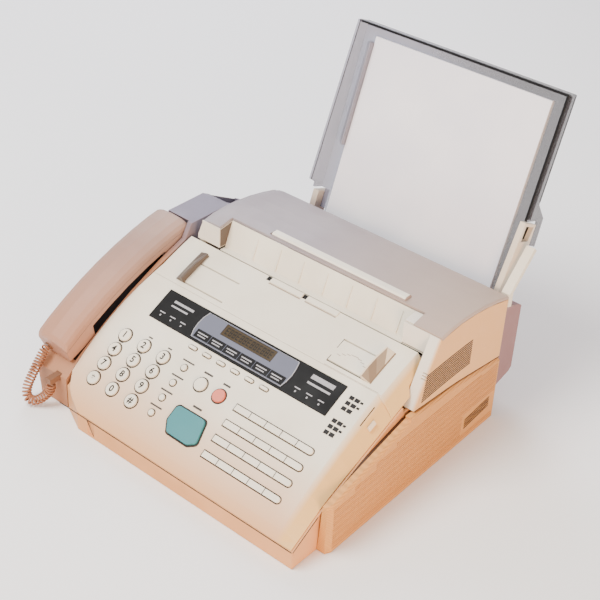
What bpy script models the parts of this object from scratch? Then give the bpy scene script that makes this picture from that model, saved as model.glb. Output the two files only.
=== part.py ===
"""Desktop plain-paper fax machine with a handset, a document feeder and a sheet tray.

Working coordinates are millimetres from the lower body's front right corner on the
table: +X right, +Y back, +Z up. FRONT_RIGHT moves them to the part's own frame, whose
origin is on the table below the centre of the machine. Blender's unit is the metre.
"""
import math

import bmesh
import bpy
from mathutils import Vector

MM = 0.001
FRONT_RIGHT = Vector((174.2, -199.2, 0.0))   # where the working origin lies in the part's frame

# --- driving dimensions, mm --------------------------------------------------------
WALL = 2.5                 # moulded wall thickness
GAP = 0.35                 # clearance between neighbouring pieces
PANEL_FRONT = 7.0          # front edge of the panel's top surface
PANEL_BACK = 135.6         # seam between operation panel and feeder table
TOP_RIGHT = -20.0          # right edge of the sloping top surfaces
SIDE_RIGHT = -2.0          # foot of the sloping right side face
BODY_RIGHT = 0.0           # outer face of the lower body's right wall
BODY_LEFT = -308.0         # outer face of the lower body's left wall
BODY_BACK = 302.0
PRINTER_LEFT = -292.0      # left edge of the printer cover
HOUSING_LEFT = -298.0      # foot of the printer housing's left side
FEEDER_BACK = 188.5        # rear edge of the feeder table
BAND_FRONT = 190.0         # front face of the white band above the feeder table
BAND_FOOT = 129.2
BAND_TOP = 151.9
CHEEK = -6.0               # inner side of the housing's right cheek
ROD_RADIUS = 1.2           # hinge rod of the operation unit
PRINTER_RIGHT = 6.8
COVER_CROWN = 157.5        # highest point of the printer cover
CROWN_Y = 222.0
KEY_TRAVEL = 1.5
DIAL_COLUMNS = (-282.8, -256.4, -230.0)
DIAL_ROWS = (71.7, 56.9, 42.4, 28.0)
DIAL_RADIUS = 6.7
RAPID_ROWS = (66.8, 51.9, 37.8, 23.5)
RAPID_LEFT, RAPID_RIGHT = -130.0, -36.0
BAR = (-276.2, -48.5, 97.0, 129.0)           # black display bar: low x, high x, low y, high y
MOUTH_LEFT, MOUTH_RIGHT = -268.0, -36.0      # sides of the print mouth
RAMP_LIP = 190.4                             # front edge of the print mouth's floor
COVER_NOTCH = -26.0                          # right end of the cover's cutaway over the mouth
HANDSET_LEFT, HANDSET_RIGHT = -357.0, -315.0
HANDSET_FOOT = Vector((0.0, 29.0, 45.0))     # front end of the plane that the handset's heads stand on
HANDSET_TILT = math.radians(22.8)
HANDSET_LENGTH = 187.0
HEAD_DEPTH = 29.5                            # crown above that plane at both ends
HANDSET_ARCH = 10.2                          # how much higher the crown is half way
HEAD_LENGTH = 36.0                           # ear and mouth blocks, measured along the handset
SHELL_SEAM = 13.0                            # depth of the handset's seam below its crown
CRADLE_LEFT = -360.5
TRAY_TILT = math.radians(19.9)               # paper plane, leaning back from the vertical
TRAY_FOOT = Vector((0.0, 328.0, 144.5))      # a point of the paper plane
TRAY_LEFT, TRAY_RIGHT = -256.0, -8.0
TRAY_TOP = 189.0                             # tray's height along the paper plane above TRAY_FOOT
PAPER = (210.0, 297.0, 5.0)                  # A4 sheets: width, length, thickness of the stack
PAPER_X = -131.0                             # middle of the sheets
PAPER_TOP = 177.0                            # top edge of the sheets above TRAY_FOOT
PANEL_PIVOT = Vector((0.0, 174.0, 117.0))    # hinge axis of the operation unit, along X
COVER_PIVOT = Vector((0.0, 302.5, 143.7))    # hinge axis of the printer cover, along X
HINGE_BOSSES = ((-280.0, -275.0), (-33.0, -28.0))   # low and high x of the feeder table's hinge bosses
HINGE_EARS = ((-286.0, -281.0), (-27.0, -22.0))     # low and high x of the printer housing's ears
GUIDE_SLOTS = (140.6, 165.2)                 # y of the slots that the document guides run in
LEVER_PIVOT = Vector((-4.0, 307.5, 136.5))   # stub axis of the paper release lever, along X
POST_LEFT, POST_RIGHT = (-256.0, -249.0), (-14.0, -8.0)   # low and high x of the tray's posts
ROLLER_AXIS = Vector((0.0, 150.0, 75.0))     # document feed roller
MOTOR_AXIS = Vector((0.0, 150.0, 59.0))      # drive motor, one gear mesh below it
PLATEN_AXIS = Vector((0.0, 226.0, 106.0))
ROD_AXIS = Vector((0.0, 262.0, 124.0))       # print carriage rod
GEAR_MODULE = 1.0
ROLLER_TEETH, MOTOR_TEETH = 20, 12
START_OUTLINE = ((-19.6, -4.0), (-12.5, -15.0), (13.5, -15.5), (22.5, -10.0), (17.0, 13.0), (-19.0, 12.8))
START_SIZE = (16.0, 13.0)  # half width and half height of the start key
START_ROUND = 4.5
FUNCTION_KEYS = tuple((-203.0, y) for y in (73.1, 57.8, 43.2, 28.8))
FUNCTION_RADIUS = 3.2
MENU_KEYS = tuple((-209.4 + 18.34 * i, 91.8) for i in range(6))
MENU_HALF, MENU_RADIUS = 3.3, 1.5
RAPID_HALF = 3.0           # half height of a rapid-dial row
ROUND_KEY = 6.8            # radius of the speaker and stop keys
SPEAKER_KEY = (-176.2, 68.1)
STOP_KEY = (-152.0, 67.6)
START_KEY = (-163.5, 34.5)
KEY_HOLE = (-12.0, 6.0)    # low and high end of the cutters for key holes, from the top surface
KEY_FOOT = -5.5            # foot of a key below the top surface
CATCH_Y = 116.0            # middle of the panel's release catch
HOOK = (-336.0, 160.0)     # hook plunger: x, and distance along the handset
BASE_JACK = Vector((-322.0, 15.0, 33.0))     # mouth of the cord socket in the cradle's front
JACK_WIDTH, JACK_HEIGHT, JACK_DEPTH = 8.0, 7.0, 12.0
BASE_PLUG_HALF = (3.6, 3.1)                  # half width and half height of the plug in it
HAND_JACK = (-345.0, 9.0)                    # cord socket in the handset's front end: x, and height
HAND_PLUG_HALF = 3.4
HAND_PLUG_OUT = 1.4                          # how far the handset's plug stands out of it
CORD_RADIUS = 5.4                            # outside of the curls
CORD_GAP = 0.3                               # between the cord and each plug
CORD_LEAD = 1.0                              # straight length where the cord meets a plug
CORD_END_Y = 6.3                             # the cord comes up to the base plug's elbow here
CORD_ROUTE = ((-345.0, 18.4, 50.3), (-345.5, 11.0, 41.0), (-346.6, 4.0, 30.0), (-346.6, -4.0, 18.0),
              (-342.5, -8.0, 9.0), (-336.0, -5.5, 6.2), (-329.0, 0.0, 11.0), (-323.5, 5.2, 20.0))

# --- colours: red, green, blue, roughness, metallic ----------------------------------
IVORY = (0.86, 0.82, 0.74, 0.45, 0.0)
BEIGE = (0.74, 0.60, 0.53, 0.42, 0.0)
LAVENDER = (0.66, 0.62, 0.62, 0.5, 0.0)
GREY_TOP = (0.45, 0.43, 0.47, 0.5, 0.0)
BLACK = (0.02, 0.02, 0.02, 0.3, 0.0)
BLUE_GREY = (0.36, 0.37, 0.44, 0.4, 0.0)
OLIVE = (0.18, 0.15, 0.08, 0.2, 0.0)
TEAL = (0.14, 0.38, 0.40, 0.4, 0.0)
SALMON = (0.80, 0.36, 0.28, 0.4, 0.0)
TAUPE = (0.30, 0.27, 0.23, 0.4, 0.0)
SMOKE = (0.22, 0.20, 0.22, 0.1, 0.0)
PAPER_WHITE = (0.92, 0.91, 0.92, 0.8, 0.0)
STEEL = (0.6, 0.6, 0.6, 0.25, 1.0)
RUBBER = (0.05, 0.05, 0.05, 0.8, 0.0)
BOARD = (0.05, 0.25, 0.12, 0.5, 0.0)


# --- surfaces ----------------------------------------------------------------------
def panel_z(y):
    """Height of the panel's and feeder table's top surface, one flat curve."""
    return 23.65 + 0.775 * y - 0.001186 * y * y


def panel_normal(y):
    return Vector((0.0, -(0.775 - 0.002372 * y), 1.0)).normalized()


def on_panel(x, y, height=0.0):
    """A point at a height above the top surface, measured square to it."""
    return Vector((x, y, panel_z(y))) + panel_normal(y) * height


def seam_z(y):
    """Seam between the operation unit and the lower body, seen from the right."""
    if y <= 42.0:
        return 20.0 + 0.607 * y
    return 45.5 + 0.4435 * (y - 42.0)


def panel_left(y):
    """Left edge of the operation panel, bowed around the cradle."""
    return min(-312.3 + 0.00115 * (y - 72.0) ** 2, -306.0)


def housing_front(z):
    """The printer housing's front face leans back."""
    return 157.5 + 0.5 * (z - 87.0)


def housing_foot(y):
    """Seam between the printer housing and the lower body."""
    return 88.0 - 4.0 * (y - 155.0) / 70.0 if y < 225.0 else 84.0 - 10.5 * (y - 225.0) / 79.0


def cover_z(y):
    """Crowned top of the printer cover."""
    fall = 0.0019 if y > CROWN_Y else 0.0042
    return COVER_CROWN - fall * (y - CROWN_Y) ** 2


def in_cradle(x, along, up=0.0):
    """A point in the handset's own frame: along its length, and up from its foot plane."""
    length = Vector((0.0, math.cos(HANDSET_TILT), math.sin(HANDSET_TILT)))
    rise = Vector((0.0, -math.sin(HANDSET_TILT), math.cos(HANDSET_TILT)))
    return Vector((x, HANDSET_FOOT.y, HANDSET_FOOT.z)) + length * along + rise * up


def handset_crown(along):
    """Height of the handset's top line above its foot plane, arched between its ends."""
    share = along / HANDSET_LENGTH
    return HEAD_DEPTH + 4.0 * HANDSET_ARCH * share * (1.0 - share)


def cradle_floor(y):
    """Height of the cradle's sloping floor, just under the handset's heads."""
    return HANDSET_FOOT.z - GAP * 1.2 + math.tan(HANDSET_TILT) * (y - HANDSET_FOOT.y)


def on_tray(x, along, out=0.0):
    """A point by the paper plane: along it from TRAY_FOOT, and out towards the front."""
    up = Vector((0.0, math.sin(TRAY_TILT), math.cos(TRAY_TILT)))
    front = Vector((0.0, -math.cos(TRAY_TILT), math.sin(TRAY_TILT)))
    return Vector((x, TRAY_FOOT.y, TRAY_FOOT.z)) + up * along + front * out


def stations(low, high, count):
    return [low + (high - low) * i / (count - 1) for i in range(count)]


# --- mesh tools --------------------------------------------------------------------
def loft(rings):
    """One closed body through rings of equally many points."""
    bm = bmesh.new()
    loops = [[bm.verts.new(point) for point in ring] for ring in rings]
    count = len(loops[0])
    for near, far in zip(loops, loops[1:]):
        for i in range(count):
            j = (i + 1) % count
            bm.faces.new((near[i], near[j], far[j], far[i]))
    bm.faces.new(list(reversed(loops[0])))
    bm.faces.new(loops[-1])
    bmesh.ops.recalc_face_normals(bm, faces=bm.faces)
    return bm


def along_x(outline, low, high):
    """A (y, z) outline carried from one x to another."""
    return loft([[Vector((x, y, z)) for y, z in outline] for x in (low, high)])


def along_z(outline, low, high):
    return loft([[Vector((x, y, z)) for x, y in outline] for z in (low, high)])


def box(low, high):
    return along_x([(low[1], low[2]), (high[1], low[2]), (high[1], high[2]), (low[1], high[2])],
                   low[0], high[0])


def circle(radius, sides, turn=0.0):
    """Points of a circle round the origin, in its own plane."""
    return [(radius * math.cos(turn + math.tau * i / sides), radius * math.sin(turn + math.tau * i / sides))
            for i in range(sides)]


def turned_x(centre, profile, sides=20):
    """A round body on an axis along X, from (x, radius) pairs."""
    return loft([[Vector((x, centre.y + a, centre.z + b)) for a, b in circle(radius, sides)]
                 for x, radius in profile])


def capsule(half_length, radius, per_end=7):
    """Outline of a bar with two round ends, long along its first axis."""
    points = []
    for side in (1, -1):
        for i in range(per_end):
            angle = -math.pi / 2 + math.pi * i / (per_end - 1)
            points.append((side * (half_length + radius * math.cos(angle)), side * radius * math.sin(angle)))
    return points


def rounded(corners, radius, per_corner=3):
    """A convex outline with its corners rounded by arcs."""
    points = []
    count = len(corners)
    for i, corner in enumerate(corners):
        here = Vector(corner)
        before = (Vector(corners[i - 1]) - here).normalized()
        after = (Vector(corners[(i + 1) % count]) - here).normalized()
        half = before.angle(after) / 2
        reach = radius / math.tan(half)
        centre = here + (before + after).normalized() * radius / math.sin(half)
        start = here + before * reach - centre
        end = here + after * reach - centre
        for k in range(per_corner):
            t = k / (per_corner - 1)
            points.append(tuple(centre + (start * (1 - t) + end * t).normalized() * radius))
    return points


def plug_on_panel(outline, x, y, low, high, chamfer=0.0):
    """An outline drawn on the top surface at (x, y), from one height above it to another."""
    normal = panel_normal(y)
    across = Vector((1.0, 0.0, 0.0))
    up = normal.cross(across)
    base = on_panel(x, y)
    size = max(max(abs(a), abs(b)) for a, b in outline)

    def ring(height, shrink):
        k = 1.0 - shrink / size
        return [base + across * a * k + up * b * k + normal * height for a, b in outline]

    rings = [ring(low, 0.0), ring(high - chamfer, 0.0)]
    if chamfer:
        rings.append(ring(high, chamfer))
    return loft(rings)


def strip_on_panel(x_low, x_high, y_low, y_high, low, high, steps=2):
    """A strip that follows the top surface's curve."""
    return loft([[on_panel(x_low, y, low), on_panel(x_high, y, low),
                  on_panel(x_high, y, high), on_panel(x_low, y, high)]
                 for y in stations(y_low, y_high, steps)])


def merged(*bodies):
    """Several closed bodies in one mesh, for a cutter."""
    out = bmesh.new()
    for body in bodies:
        mesh = bpy.data.meshes.new("merge")
        body.to_mesh(mesh)
        out.from_mesh(mesh)
        body.free()
        bpy.data.meshes.remove(mesh)
    return out


# --- objects -----------------------------------------------------------------------
def material(name, look):
    made = bpy.data.materials.new(name)
    made.use_nodes = True
    shader = made.node_tree.nodes["Principled BSDF"]
    red, green, blue, roughness, metallic = look
    shader.inputs["Base Color"].default_value = (red, green, blue, 1.0)
    shader.inputs["Roughness"].default_value = roughness
    shader.inputs["Metallic"].default_value = metallic
    made.diffuse_color = (red, green, blue, 1.0)
    return made


def add_object(name, body, pivot=None):
    """Move a body from working coordinates to the part's frame, with its origin on pivot."""
    origin = ((pivot if pivot else Vector((0.0, 0.0, 0.0)) - FRONT_RIGHT) + FRONT_RIGHT) * MM
    for vertex in body.verts:
        vertex.co = (vertex.co + FRONT_RIGHT) * MM - origin
    mesh = bpy.data.meshes.new(name)
    body.to_mesh(mesh)
    body.free()
    made = bpy.data.objects.new(name, mesh)
    made.location = origin
    bpy.context.scene.collection.objects.link(made)
    return made


def node(name, body, look, pivot=None, smooth=30.0):
    made = add_object(name, body, pivot)
    made.data.materials.append(material(name, look))
    made.data.shade_smooth()
    made.data.set_sharp_from_angle(angle=math.radians(smooth))
    return made


def carve(target, body, operation="DIFFERENCE"):
    """Cut a body from an object, or join it on, with a Boolean modifier."""
    tool = add_object("tool_" + target.name, body)
    tool.hide_render = True
    tool.display_type = "WIRE"
    change = target.modifiers.new("shape", "BOOLEAN")
    change.operation = operation
    change.object = tool
    change.solver = "EXACT"


def join_on(target, body):
    carve(target, body, "UNION")


# --- lower body ----------------------------------------------------------------------
def body_ring(y, inset, floor, lift):
    left = BODY_LEFT + inset if y > 15.0 else BODY_LEFT + inset + 31.0 * (15.0 - y) / 15.0
    right = BODY_RIGHT - inset
    top = (seam_z(y) if y < 150.0 else housing_foot(y)) - GAP + lift
    return [Vector((left, y, floor)), Vector((right, y, floor)),
            Vector((right, y, top)), Vector((left, y, top))]


def base_chassis():
    """Open tray: floor and four walls, whose top edge is the seam under the upper units."""
    ys = [0.0, 15.0, 42.0, 95.0, 149.9, 150.0, 225.0, BODY_BACK]
    made = node("base_chassis", loft([body_ring(y, 0.0, 0.0, 0.0) for y in ys]), IVORY)
    inner = [WALL, 16.0, 42.0, 95.0, 149.9, 150.0, 225.0, BODY_BACK - WALL]
    carve(made, loft([body_ring(y, WALL, WALL, 40.0) for y in inner]))
    rear_window = box((-270.0, BODY_BACK - 6.0, 24.0), (-6.0, BODY_BACK + 2.0, 120.0))
    wedge = along_z([(-265.5, -2.0), (-253.0, -2.0), (-254.0, 1.2), (-262.0, 1.2)], 2.0, 19.0)
    carve(made, merged(rear_window, wedge))


def side_cover_top(y):
    if y < 150.0:
        return 54.0 + 0.2625 * (y - 36.0)
    return housing_foot(y) - GAP - 1.0


def right_side_cover():
    """Ribbed side panel: a shallow tray open towards the body, with five low rear vents."""
    ys = [34.0, 40.0, 149.9, 150.0, 225.0, BODY_BACK]

    def ring(y, inset):
        foot_x = 12.2 - 3.5 * (y - 34.0) / (BODY_BACK - 34.0)
        if y < 40.0:
            foot_x -= 3.0
        top = side_cover_top(y) - inset
        near, near_top = (BODY_RIGHT - 4.0, BODY_RIGHT - 4.0) if inset else (BODY_RIGHT + GAP, 3.4)
        return [Vector((near, y, inset)), Vector((foot_x - inset, y, inset)),
                Vector((foot_x - 0.6 - inset, y, top - 2.5)), Vector((foot_x - 2.6 - inset, y, top)),
                Vector((near_top, y, top))]

    made = node("right_side_cover", loft([ring(y, 0.0) for y in ys]), IVORY)
    inner = [34.0 + WALL, 40.0, 149.9, 150.0, 225.0, BODY_BACK - WALL]
    carve(made, loft([ring(y, WALL) for y in inner]))
    vents = [loft([[Vector((x, y, z + 0.1 * (y - 248.0) + dz)) for x, dz in
                    ((0.5, 0.0), (16.0, 0.0), (16.0, 1.3), (0.5, 1.3))] for y in (248.0, 292.0)])
             for z in (15.0, 17.6, 20.2, 22.8, 25.4)]
    carve(made, merged(*vents))


def handset_cradle():
    """Left side of the machine: a channel for the handset and a raised block behind it."""
    def front_ring(y):
        left = CRADLE_LEFT + 8.0 * max(0.0, 40.0 - y) / 25.0
        right = min(panel_left(y) - 0.7, BODY_LEFT - GAP)
        rim = panel_z(y) - 0.3
        low_rim = min(rim, cradle_floor(y) + 7.0)
        return [Vector((left + 4.0, y, 0.0)), Vector((right, y, 0.0)), Vector((right, y, rim)),
                Vector((HANDSET_RIGHT - 8.0, y, rim)), Vector((left + 3.0, y, low_rim)),
                Vector((left, y, low_rim - 1.0))]

    def rear_ring(y):
        top = 140.5 if y < 245.0 else 140.5 - 30.0 * (y - 245.0) / (BODY_BACK - 245.0)
        left = CRADLE_LEFT + 11.0
        right = BODY_LEFT - GAP
        return [Vector((left + 4.0, y, 0.0)), Vector((right, y, 0.0)), Vector((right, y, top)),
                Vector((right - 8.0, y, top)), Vector((left + 5.0, y, top)), Vector((left, y, top - 12.0))]

    rings = [front_ring(y) for y in (15.0, 29.0, 40.0, 75.0, 110.0, 150.0, 182.0)]
    rings += [rear_ring(y) for y in (191.0, 245.0, BODY_BACK)]
    made = node("handset_cradle", loft(rings), GREY_TOP)
    low, high = HANDSET_LEFT - 1.0, HANDSET_RIGHT + 1.0
    channel = loft([[in_cradle(low, along, -GAP), in_cradle(high, along, -GAP),
                     in_cradle(high, along, 80.0), in_cradle(low, along, 80.0)]
                    for along in (-30.0, HANDSET_LENGTH + 1.5)])
    carve(made, channel)
    hollow = loft([[Vector((-345.0, y, -1.0)), Vector((-318.0, y, -1.0)),
                    Vector((-318.0, y, cradle_floor(y) - 3.5)),
                    Vector((-345.0, y, cradle_floor(y) - 3.5))] for y in (34.0, BODY_BACK - 6.0)])
    carve(made, hollow)
    carve(made, upright(HOOK, [(-20.0, 3.6), (20.0, 3.6)], 16))
    socket = box((BASE_JACK.x - JACK_WIDTH / 2, BASE_JACK.y - 2.0, BASE_JACK.z - JACK_HEIGHT / 2),
                 (BASE_JACK.x + JACK_WIDTH / 2, BASE_JACK.y + JACK_DEPTH, BASE_JACK.z + JACK_HEIGHT / 2))
    carve(made, socket)


def upright(place, profile, sides):
    """A round body square to the cradle's floor, from (height above the foot plane, radius) pairs."""
    x, along = place
    return loft([[in_cradle(x + a, along + b, height) for a, b in circle(radius, sides)]
                 for height, radius in profile])


def hook_switch():
    node("hook_switch", upright(HOOK, [(-14.0, 3.2), (-1.2, 3.2), (-0.5, 2.4)], 16), IVORY)


# --- operation unit ------------------------------------------------------------------
def top_ring(y, left, drop, inset, foot, right_top=TOP_RIGHT):
    """Cross section of the operation unit at one y: flat top, sloping right side, foot line."""
    top = panel_z(y) - drop
    right_top -= inset * 0.4
    return [Vector((left + inset, y, foot)), Vector((left + inset, y, top)), Vector((right_top, y, top)),
            Vector((SIDE_RIGHT - inset, y, max(seam_z(y) + 1.0 - drop, foot + 0.2))),
            Vector((SIDE_RIGHT - inset, y, foot))]


def panel_outer():
    ys = [0.4, PANEL_FRONT, 12.0, 24.0, 40.0, 58.0, 78.0, 98.0, 117.0, PANEL_BACK]
    rings = []
    for y in ys:
        left = panel_left(y) + (30.0 * ((24.0 - y) / 24.0) ** 2 if y < 24.0 else 0.0)
        rings.append(top_ring(y, left, 0.0, 0.0, seam_z(y)))
    for point in rings[0][1:4]:
        point.z = seam_z(ys[0]) + 1.2
    return loft(rings)


def panel_inner():
    ys = [PANEL_FRONT + 6.0, 24.0, 40.0, 58.0, 78.0, 98.0, 117.0, PANEL_BACK - WALL]
    rings = []
    for y in ys:
        left = panel_left(y) + (4.0 if y < 20.0 else 0.0)
        ring = top_ring(y, left, WALL, WALL, seam_z(y) - 6.0)
        if ring[1].z < seam_z(y) + 1.0:
            ring[1].z = ring[2].z = seam_z(y) + 1.0
        rings.append(ring)
    return loft(rings)


def dial_key_places():
    for row, y in enumerate(DIAL_ROWS):
        for column, x in enumerate(DIAL_COLUMNS):
            yield row * 3 + column, x, y


def rapid_outline(grow):
    """One rapid-dial row: square at the left, round at the right."""
    half = (RAPID_RIGHT - RAPID_LEFT) / 2
    height = RAPID_HALF
    points = [(-half - grow, height + grow), (-half - grow, -height - grow)]
    for i in range(7):
        angle = -math.pi / 2 + math.pi * i / 6
        points.append((half - height + (height + grow) * math.cos(angle), (height + grow) * math.sin(angle)))
    return points


def operation_panel():
    made = node("operation_panel", panel_outer(), IVORY)
    carve(made, panel_inner())
    shapes = [(circle(DIAL_RADIUS + GAP, 16), x, y) for _, x, y in dial_key_places()]
    shapes += [(circle(FUNCTION_RADIUS + GAP, 12), x, y) for x, y in FUNCTION_KEYS]
    shapes += [(capsule(MENU_HALF, MENU_RADIUS + GAP, 5), x, y) for x, y in MENU_KEYS]
    shapes += [(circle(ROUND_KEY + GAP, 16), x, y) for x, y in (SPEAKER_KEY, STOP_KEY)]
    shapes += [(rapid_outline(GAP), (RAPID_LEFT + RAPID_RIGHT) / 2, y) for y in RAPID_ROWS]
    shapes.append((start_outline(GAP), *START_KEY))
    holes = [plug_on_panel(outline, x, y, *KEY_HOLE) for outline, x, y in shapes]
    low_x, high_x, low_y, high_y = BAR
    holes.append(strip_on_panel(low_x, high_x, low_y, high_y, *KEY_HOLE, 4))
    carve(made, merged(*holes))


def start_outline(grow):
    """Shield-shaped start key, or with grow its opening."""
    wide, high = START_SIZE
    return [(a * (1 + grow / wide), b * (1 + grow / high)) for a, b in rounded(START_OUTLINE, START_ROUND, 4)]


def key(name, outline, x, y, look, rise=2.2):
    """A single key: a chamfered plug whose foot stands below the panel's skin."""
    return node(name, plug_on_panel(outline, x, y, KEY_FOOT, rise, 0.6), look, on_panel(x, y))


def dial_keys():
    names = ["key_1", "key_2", "key_3", "key_4", "key_5", "key_6", "key_7", "key_8", "key_9",
             "key_star", "key_0", "key_hash"]
    for index, x, y in dial_key_places():
        key(names[index], circle(DIAL_RADIUS, 16), x, y, IVORY)


def single_keys():
    key("speaker_key", circle(ROUND_KEY, 16), *SPEAKER_KEY, IVORY)
    key("stop_key", circle(ROUND_KEY, 16), *STOP_KEY, SALMON)
    key("start_key", start_outline(0.0), *START_KEY, TEAL)


def key_group(name, outline, places, web, look):
    """Keys moulded on one web under the skin, so they are one piece."""
    x, y = places[0]
    made = node(name, web, look, on_panel(x, y))
    join_on(made, merged(*[plug_on_panel(outline, x, y, -4.6, 1.8, 0.5) for x, y in places]))


def grouped_keys():
    x = FUNCTION_KEYS[0][0]
    low, high = FUNCTION_KEYS[-1][1] - 3.0, FUNCTION_KEYS[0][1] + 3.0
    web = strip_on_panel(x - 2.6, x + 2.6, low, high, KEY_FOOT - 0.1, -4.2, 5)
    key_group("function_keys", circle(FUNCTION_RADIUS, 12), FUNCTION_KEYS, web, IVORY)
    y = MENU_KEYS[0][1]
    web = strip_on_panel(MENU_KEYS[0][0] - 4.4, MENU_KEYS[-1][0] + 4.4, y - 1.9, y + 1.9, KEY_FOOT - 0.1, -4.2)
    key_group("menu_keys", capsule(MENU_HALF, MENU_RADIUS, 5), MENU_KEYS, web, IVORY)


def rapid_rows():
    """Five rapid-dial keys a row, cut apart above their common web."""
    middle = (RAPID_LEFT + RAPID_RIGHT) / 2
    for index, y in enumerate(RAPID_ROWS):
        made = key("rapid_row_%d" % (index + 1), rapid_outline(0.0), middle, y, IVORY, 1.6)
        step = (RAPID_RIGHT - RAPID_LEFT) / 5
        cuts = [plug_on_panel([(a + RAPID_LEFT - middle + step * k, b) for a, b in
                               ((-0.35, -6.0), (0.35, -6.0), (0.35, 6.0), (-0.35, 6.0))],
                              middle, y, -2.4, 4.0) for k in range(1, 5)]
        carve(made, merged(*cuts))


def display():
    """Black bar, blue-grey window frame in it, and the display in that frame."""
    low_x, high_x, low_y, high_y = BAR
    bezel = node("display_bezel", strip_on_panel(low_x + GAP, high_x - GAP, low_y + GAP, high_y - GAP,
                                                 -3.2, 0.5, 4), BLACK)
    frame = [(-220.0, 99.6), (-104.6, 99.6), (-102.4, 106.0), (-101.6, 113.0), (-102.4, 120.0), (-104.2, 126.6),
             (-220.0, 126.6), (-222.6, 120.0), (-223.4, 113.0), (-222.6, 106.0)]
    centre = Vector((-162.4, 113.0))

    def flat(outline, low, high, grow=0.0):
        points = [(x - centre.x, y - centre.y) for x, y in outline]
        span = max(abs(a) for a, _ in points)
        rise = max(abs(b) for _, b in points)
        slope = 1.0 / panel_normal(centre.y).z
        points = [(a * (1 + grow / span), b * slope * (1 + grow / rise)) for a, b in points]
        return plug_on_panel(points, centre.x, centre.y, low, high)

    carve(bezel, flat(frame, -9.0, 9.0, GAP))
    panel = node("display_panel", flat(frame, -2.8, 0.9), BLUE_GREY)
    glass = [(-194.5, 114.2), (-130.4, 114.2), (-130.4, 125.2), (-194.5, 125.2)]
    carve(panel, flat_block(glass, centre, -9.0, 9.0, GAP))
    node("lcd_module", flat_block(glass, centre, -6.5, 0.6, 0.0), OLIVE)


def flat_block(corners, centre, low, high, grow):
    """A rectangle given in plan, on the display's own flat plane."""
    slope = 1.0 / panel_normal(centre.y).z
    x_low, y_low = corners[0]
    x_high, y_high = corners[2]
    outline = [(x_low - grow - centre.x, (y_low - centre.y) * slope - grow),
               (x_high + grow - centre.x, (y_low - centre.y) * slope - grow),
               (x_high + grow - centre.x, (y_high - centre.y) * slope + grow),
               (x_low - grow - centre.x, (y_high - centre.y) * slope + grow)]
    return plug_on_panel(outline, centre.x, centre.y, low, high)


def key_board():
    """Circuit board that carries the key contacts, below the keys' travel."""
    node("key_board", strip_on_panel(-300.0, -30.0, 22.0, 96.0, -9.6, -8.0, 5), BOARD)


def feeder_table():
    """Table behind the panel, with a sloping right side, guide slots and hinge bosses."""
    right_top = TOP_RIGHT + 4.0
    outer, inner = [], []
    for y in (PANEL_BACK + GAP, 148.0, 162.0, 176.0, FEEDER_BACK):
        foot = max(seam_z(y), panel_z(y) - 20.0)
        outer.append(top_ring(y, panel_left(y), 0.0, 0.0, foot, right_top))
    made = node("feeder_table", loft(outer), IVORY)
    for y in (PANEL_BACK + GAP + WALL, 148.0, 162.0, 176.0, FEEDER_BACK - WALL):
        inner.append(top_ring(y, panel_left(y), WALL, WALL, panel_z(y) - 40.0, right_top))
    carve(made, loft(inner))
    gap = 2.4
    behind_cheek = [(housing_front(60.0) - gap, 60.0), (housing_front(150.0) - gap, 150.0), (220.0, 150.0),
                    (220.0, 60.0)]
    carve(made, along_x(behind_cheek, CHEEK - 1.0, 20.0))
    for low, high in HINGE_BOSSES:
        join_on(made, box((low, PANEL_PIVOT.y - 4.0, PANEL_PIVOT.z - 3.5),
                          (high, PANEL_PIVOT.y + 4.0, PANEL_PIVOT.z + 4.0)))
    carve(made, turned_x(PANEL_PIVOT, [(-292.0, ROD_RADIUS + GAP), (-18.0, ROD_RADIUS + GAP)], 12))
    slots = [box((low, y, 90.0), (high, y + 1.6, 140.0)) for y in GUIDE_SLOTS
             for low, high in ((-271.6, -218.0), (-84.0, -40.0))]
    carve(made, merged(*slots))


def document_guides():
    """Two wedges that slide towards each other, each on two feet in the table's slots."""
    for name, x, out, look in (("left_document_guide", -270.0, -1.0, TAUPE),
                               ("right_document_guide", -43.0, 1.0, IVORY)):
        rings = []
        for y, height in ((140.4, 7.0), (150.0, 7.6), (162.0, 6.8), (177.0, 4.0)):
            rings.append([on_panel(x, y, 0.4), on_panel(x + 11.0 * out, y, 0.4),
                          on_panel(x + 10.0 * out, y, 1.2), on_panel(x + 1.8 * out, y, height),
                          on_panel(x, y, height)])
        made = node(name, loft(rings), look)
        for y in GUIDE_SLOTS:
            low, high = sorted((x + 0.3 * out, x + 1.5 * out))
            join_on(made, box((low, y + 0.3, panel_z(y) - 5.0), (high, y + 1.3, panel_z(y) + 3.0)))


def panel_catch():
    """Small finger catch on the sloping right side that frees the operation unit."""
    y = CATCH_Y
    low = Vector((SIDE_RIGHT, 0.0, seam_z(y) + 1.0))
    high = Vector((TOP_RIGHT, 0.0, panel_z(y)))
    face = (high - low).normalized()
    normal = Vector((-face.z, 0.0, face.x))
    if normal.x < 0:
        normal = -normal
    base = low.lerp(high, 0.45)
    rings = []
    for where, tall in ((y - 5.0, 1.6), (y + 3.0, 2.2)):
        centre = Vector((base.x, where, base.z + (panel_z(where) - panel_z(y)) * 0.9))
        rings.append([centre - face * 2.0 + normal * 0.6, centre + face * 2.0 + normal * 0.6,
                      centre + face * 2.0 + normal * (0.6 + tall), centre - face * 2.0 + normal * (0.6 + tall)])
    node("panel_catch", loft(rings), IVORY)


def hinge_rod():
    """Steel rod through the feeder table's bosses and the printer housing's ears."""
    node("hinge_rod", turned_x(PANEL_PIVOT, [(-288.0, ROD_RADIUS), (-20.0, ROD_RADIUS)], 12), STEEL)


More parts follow.
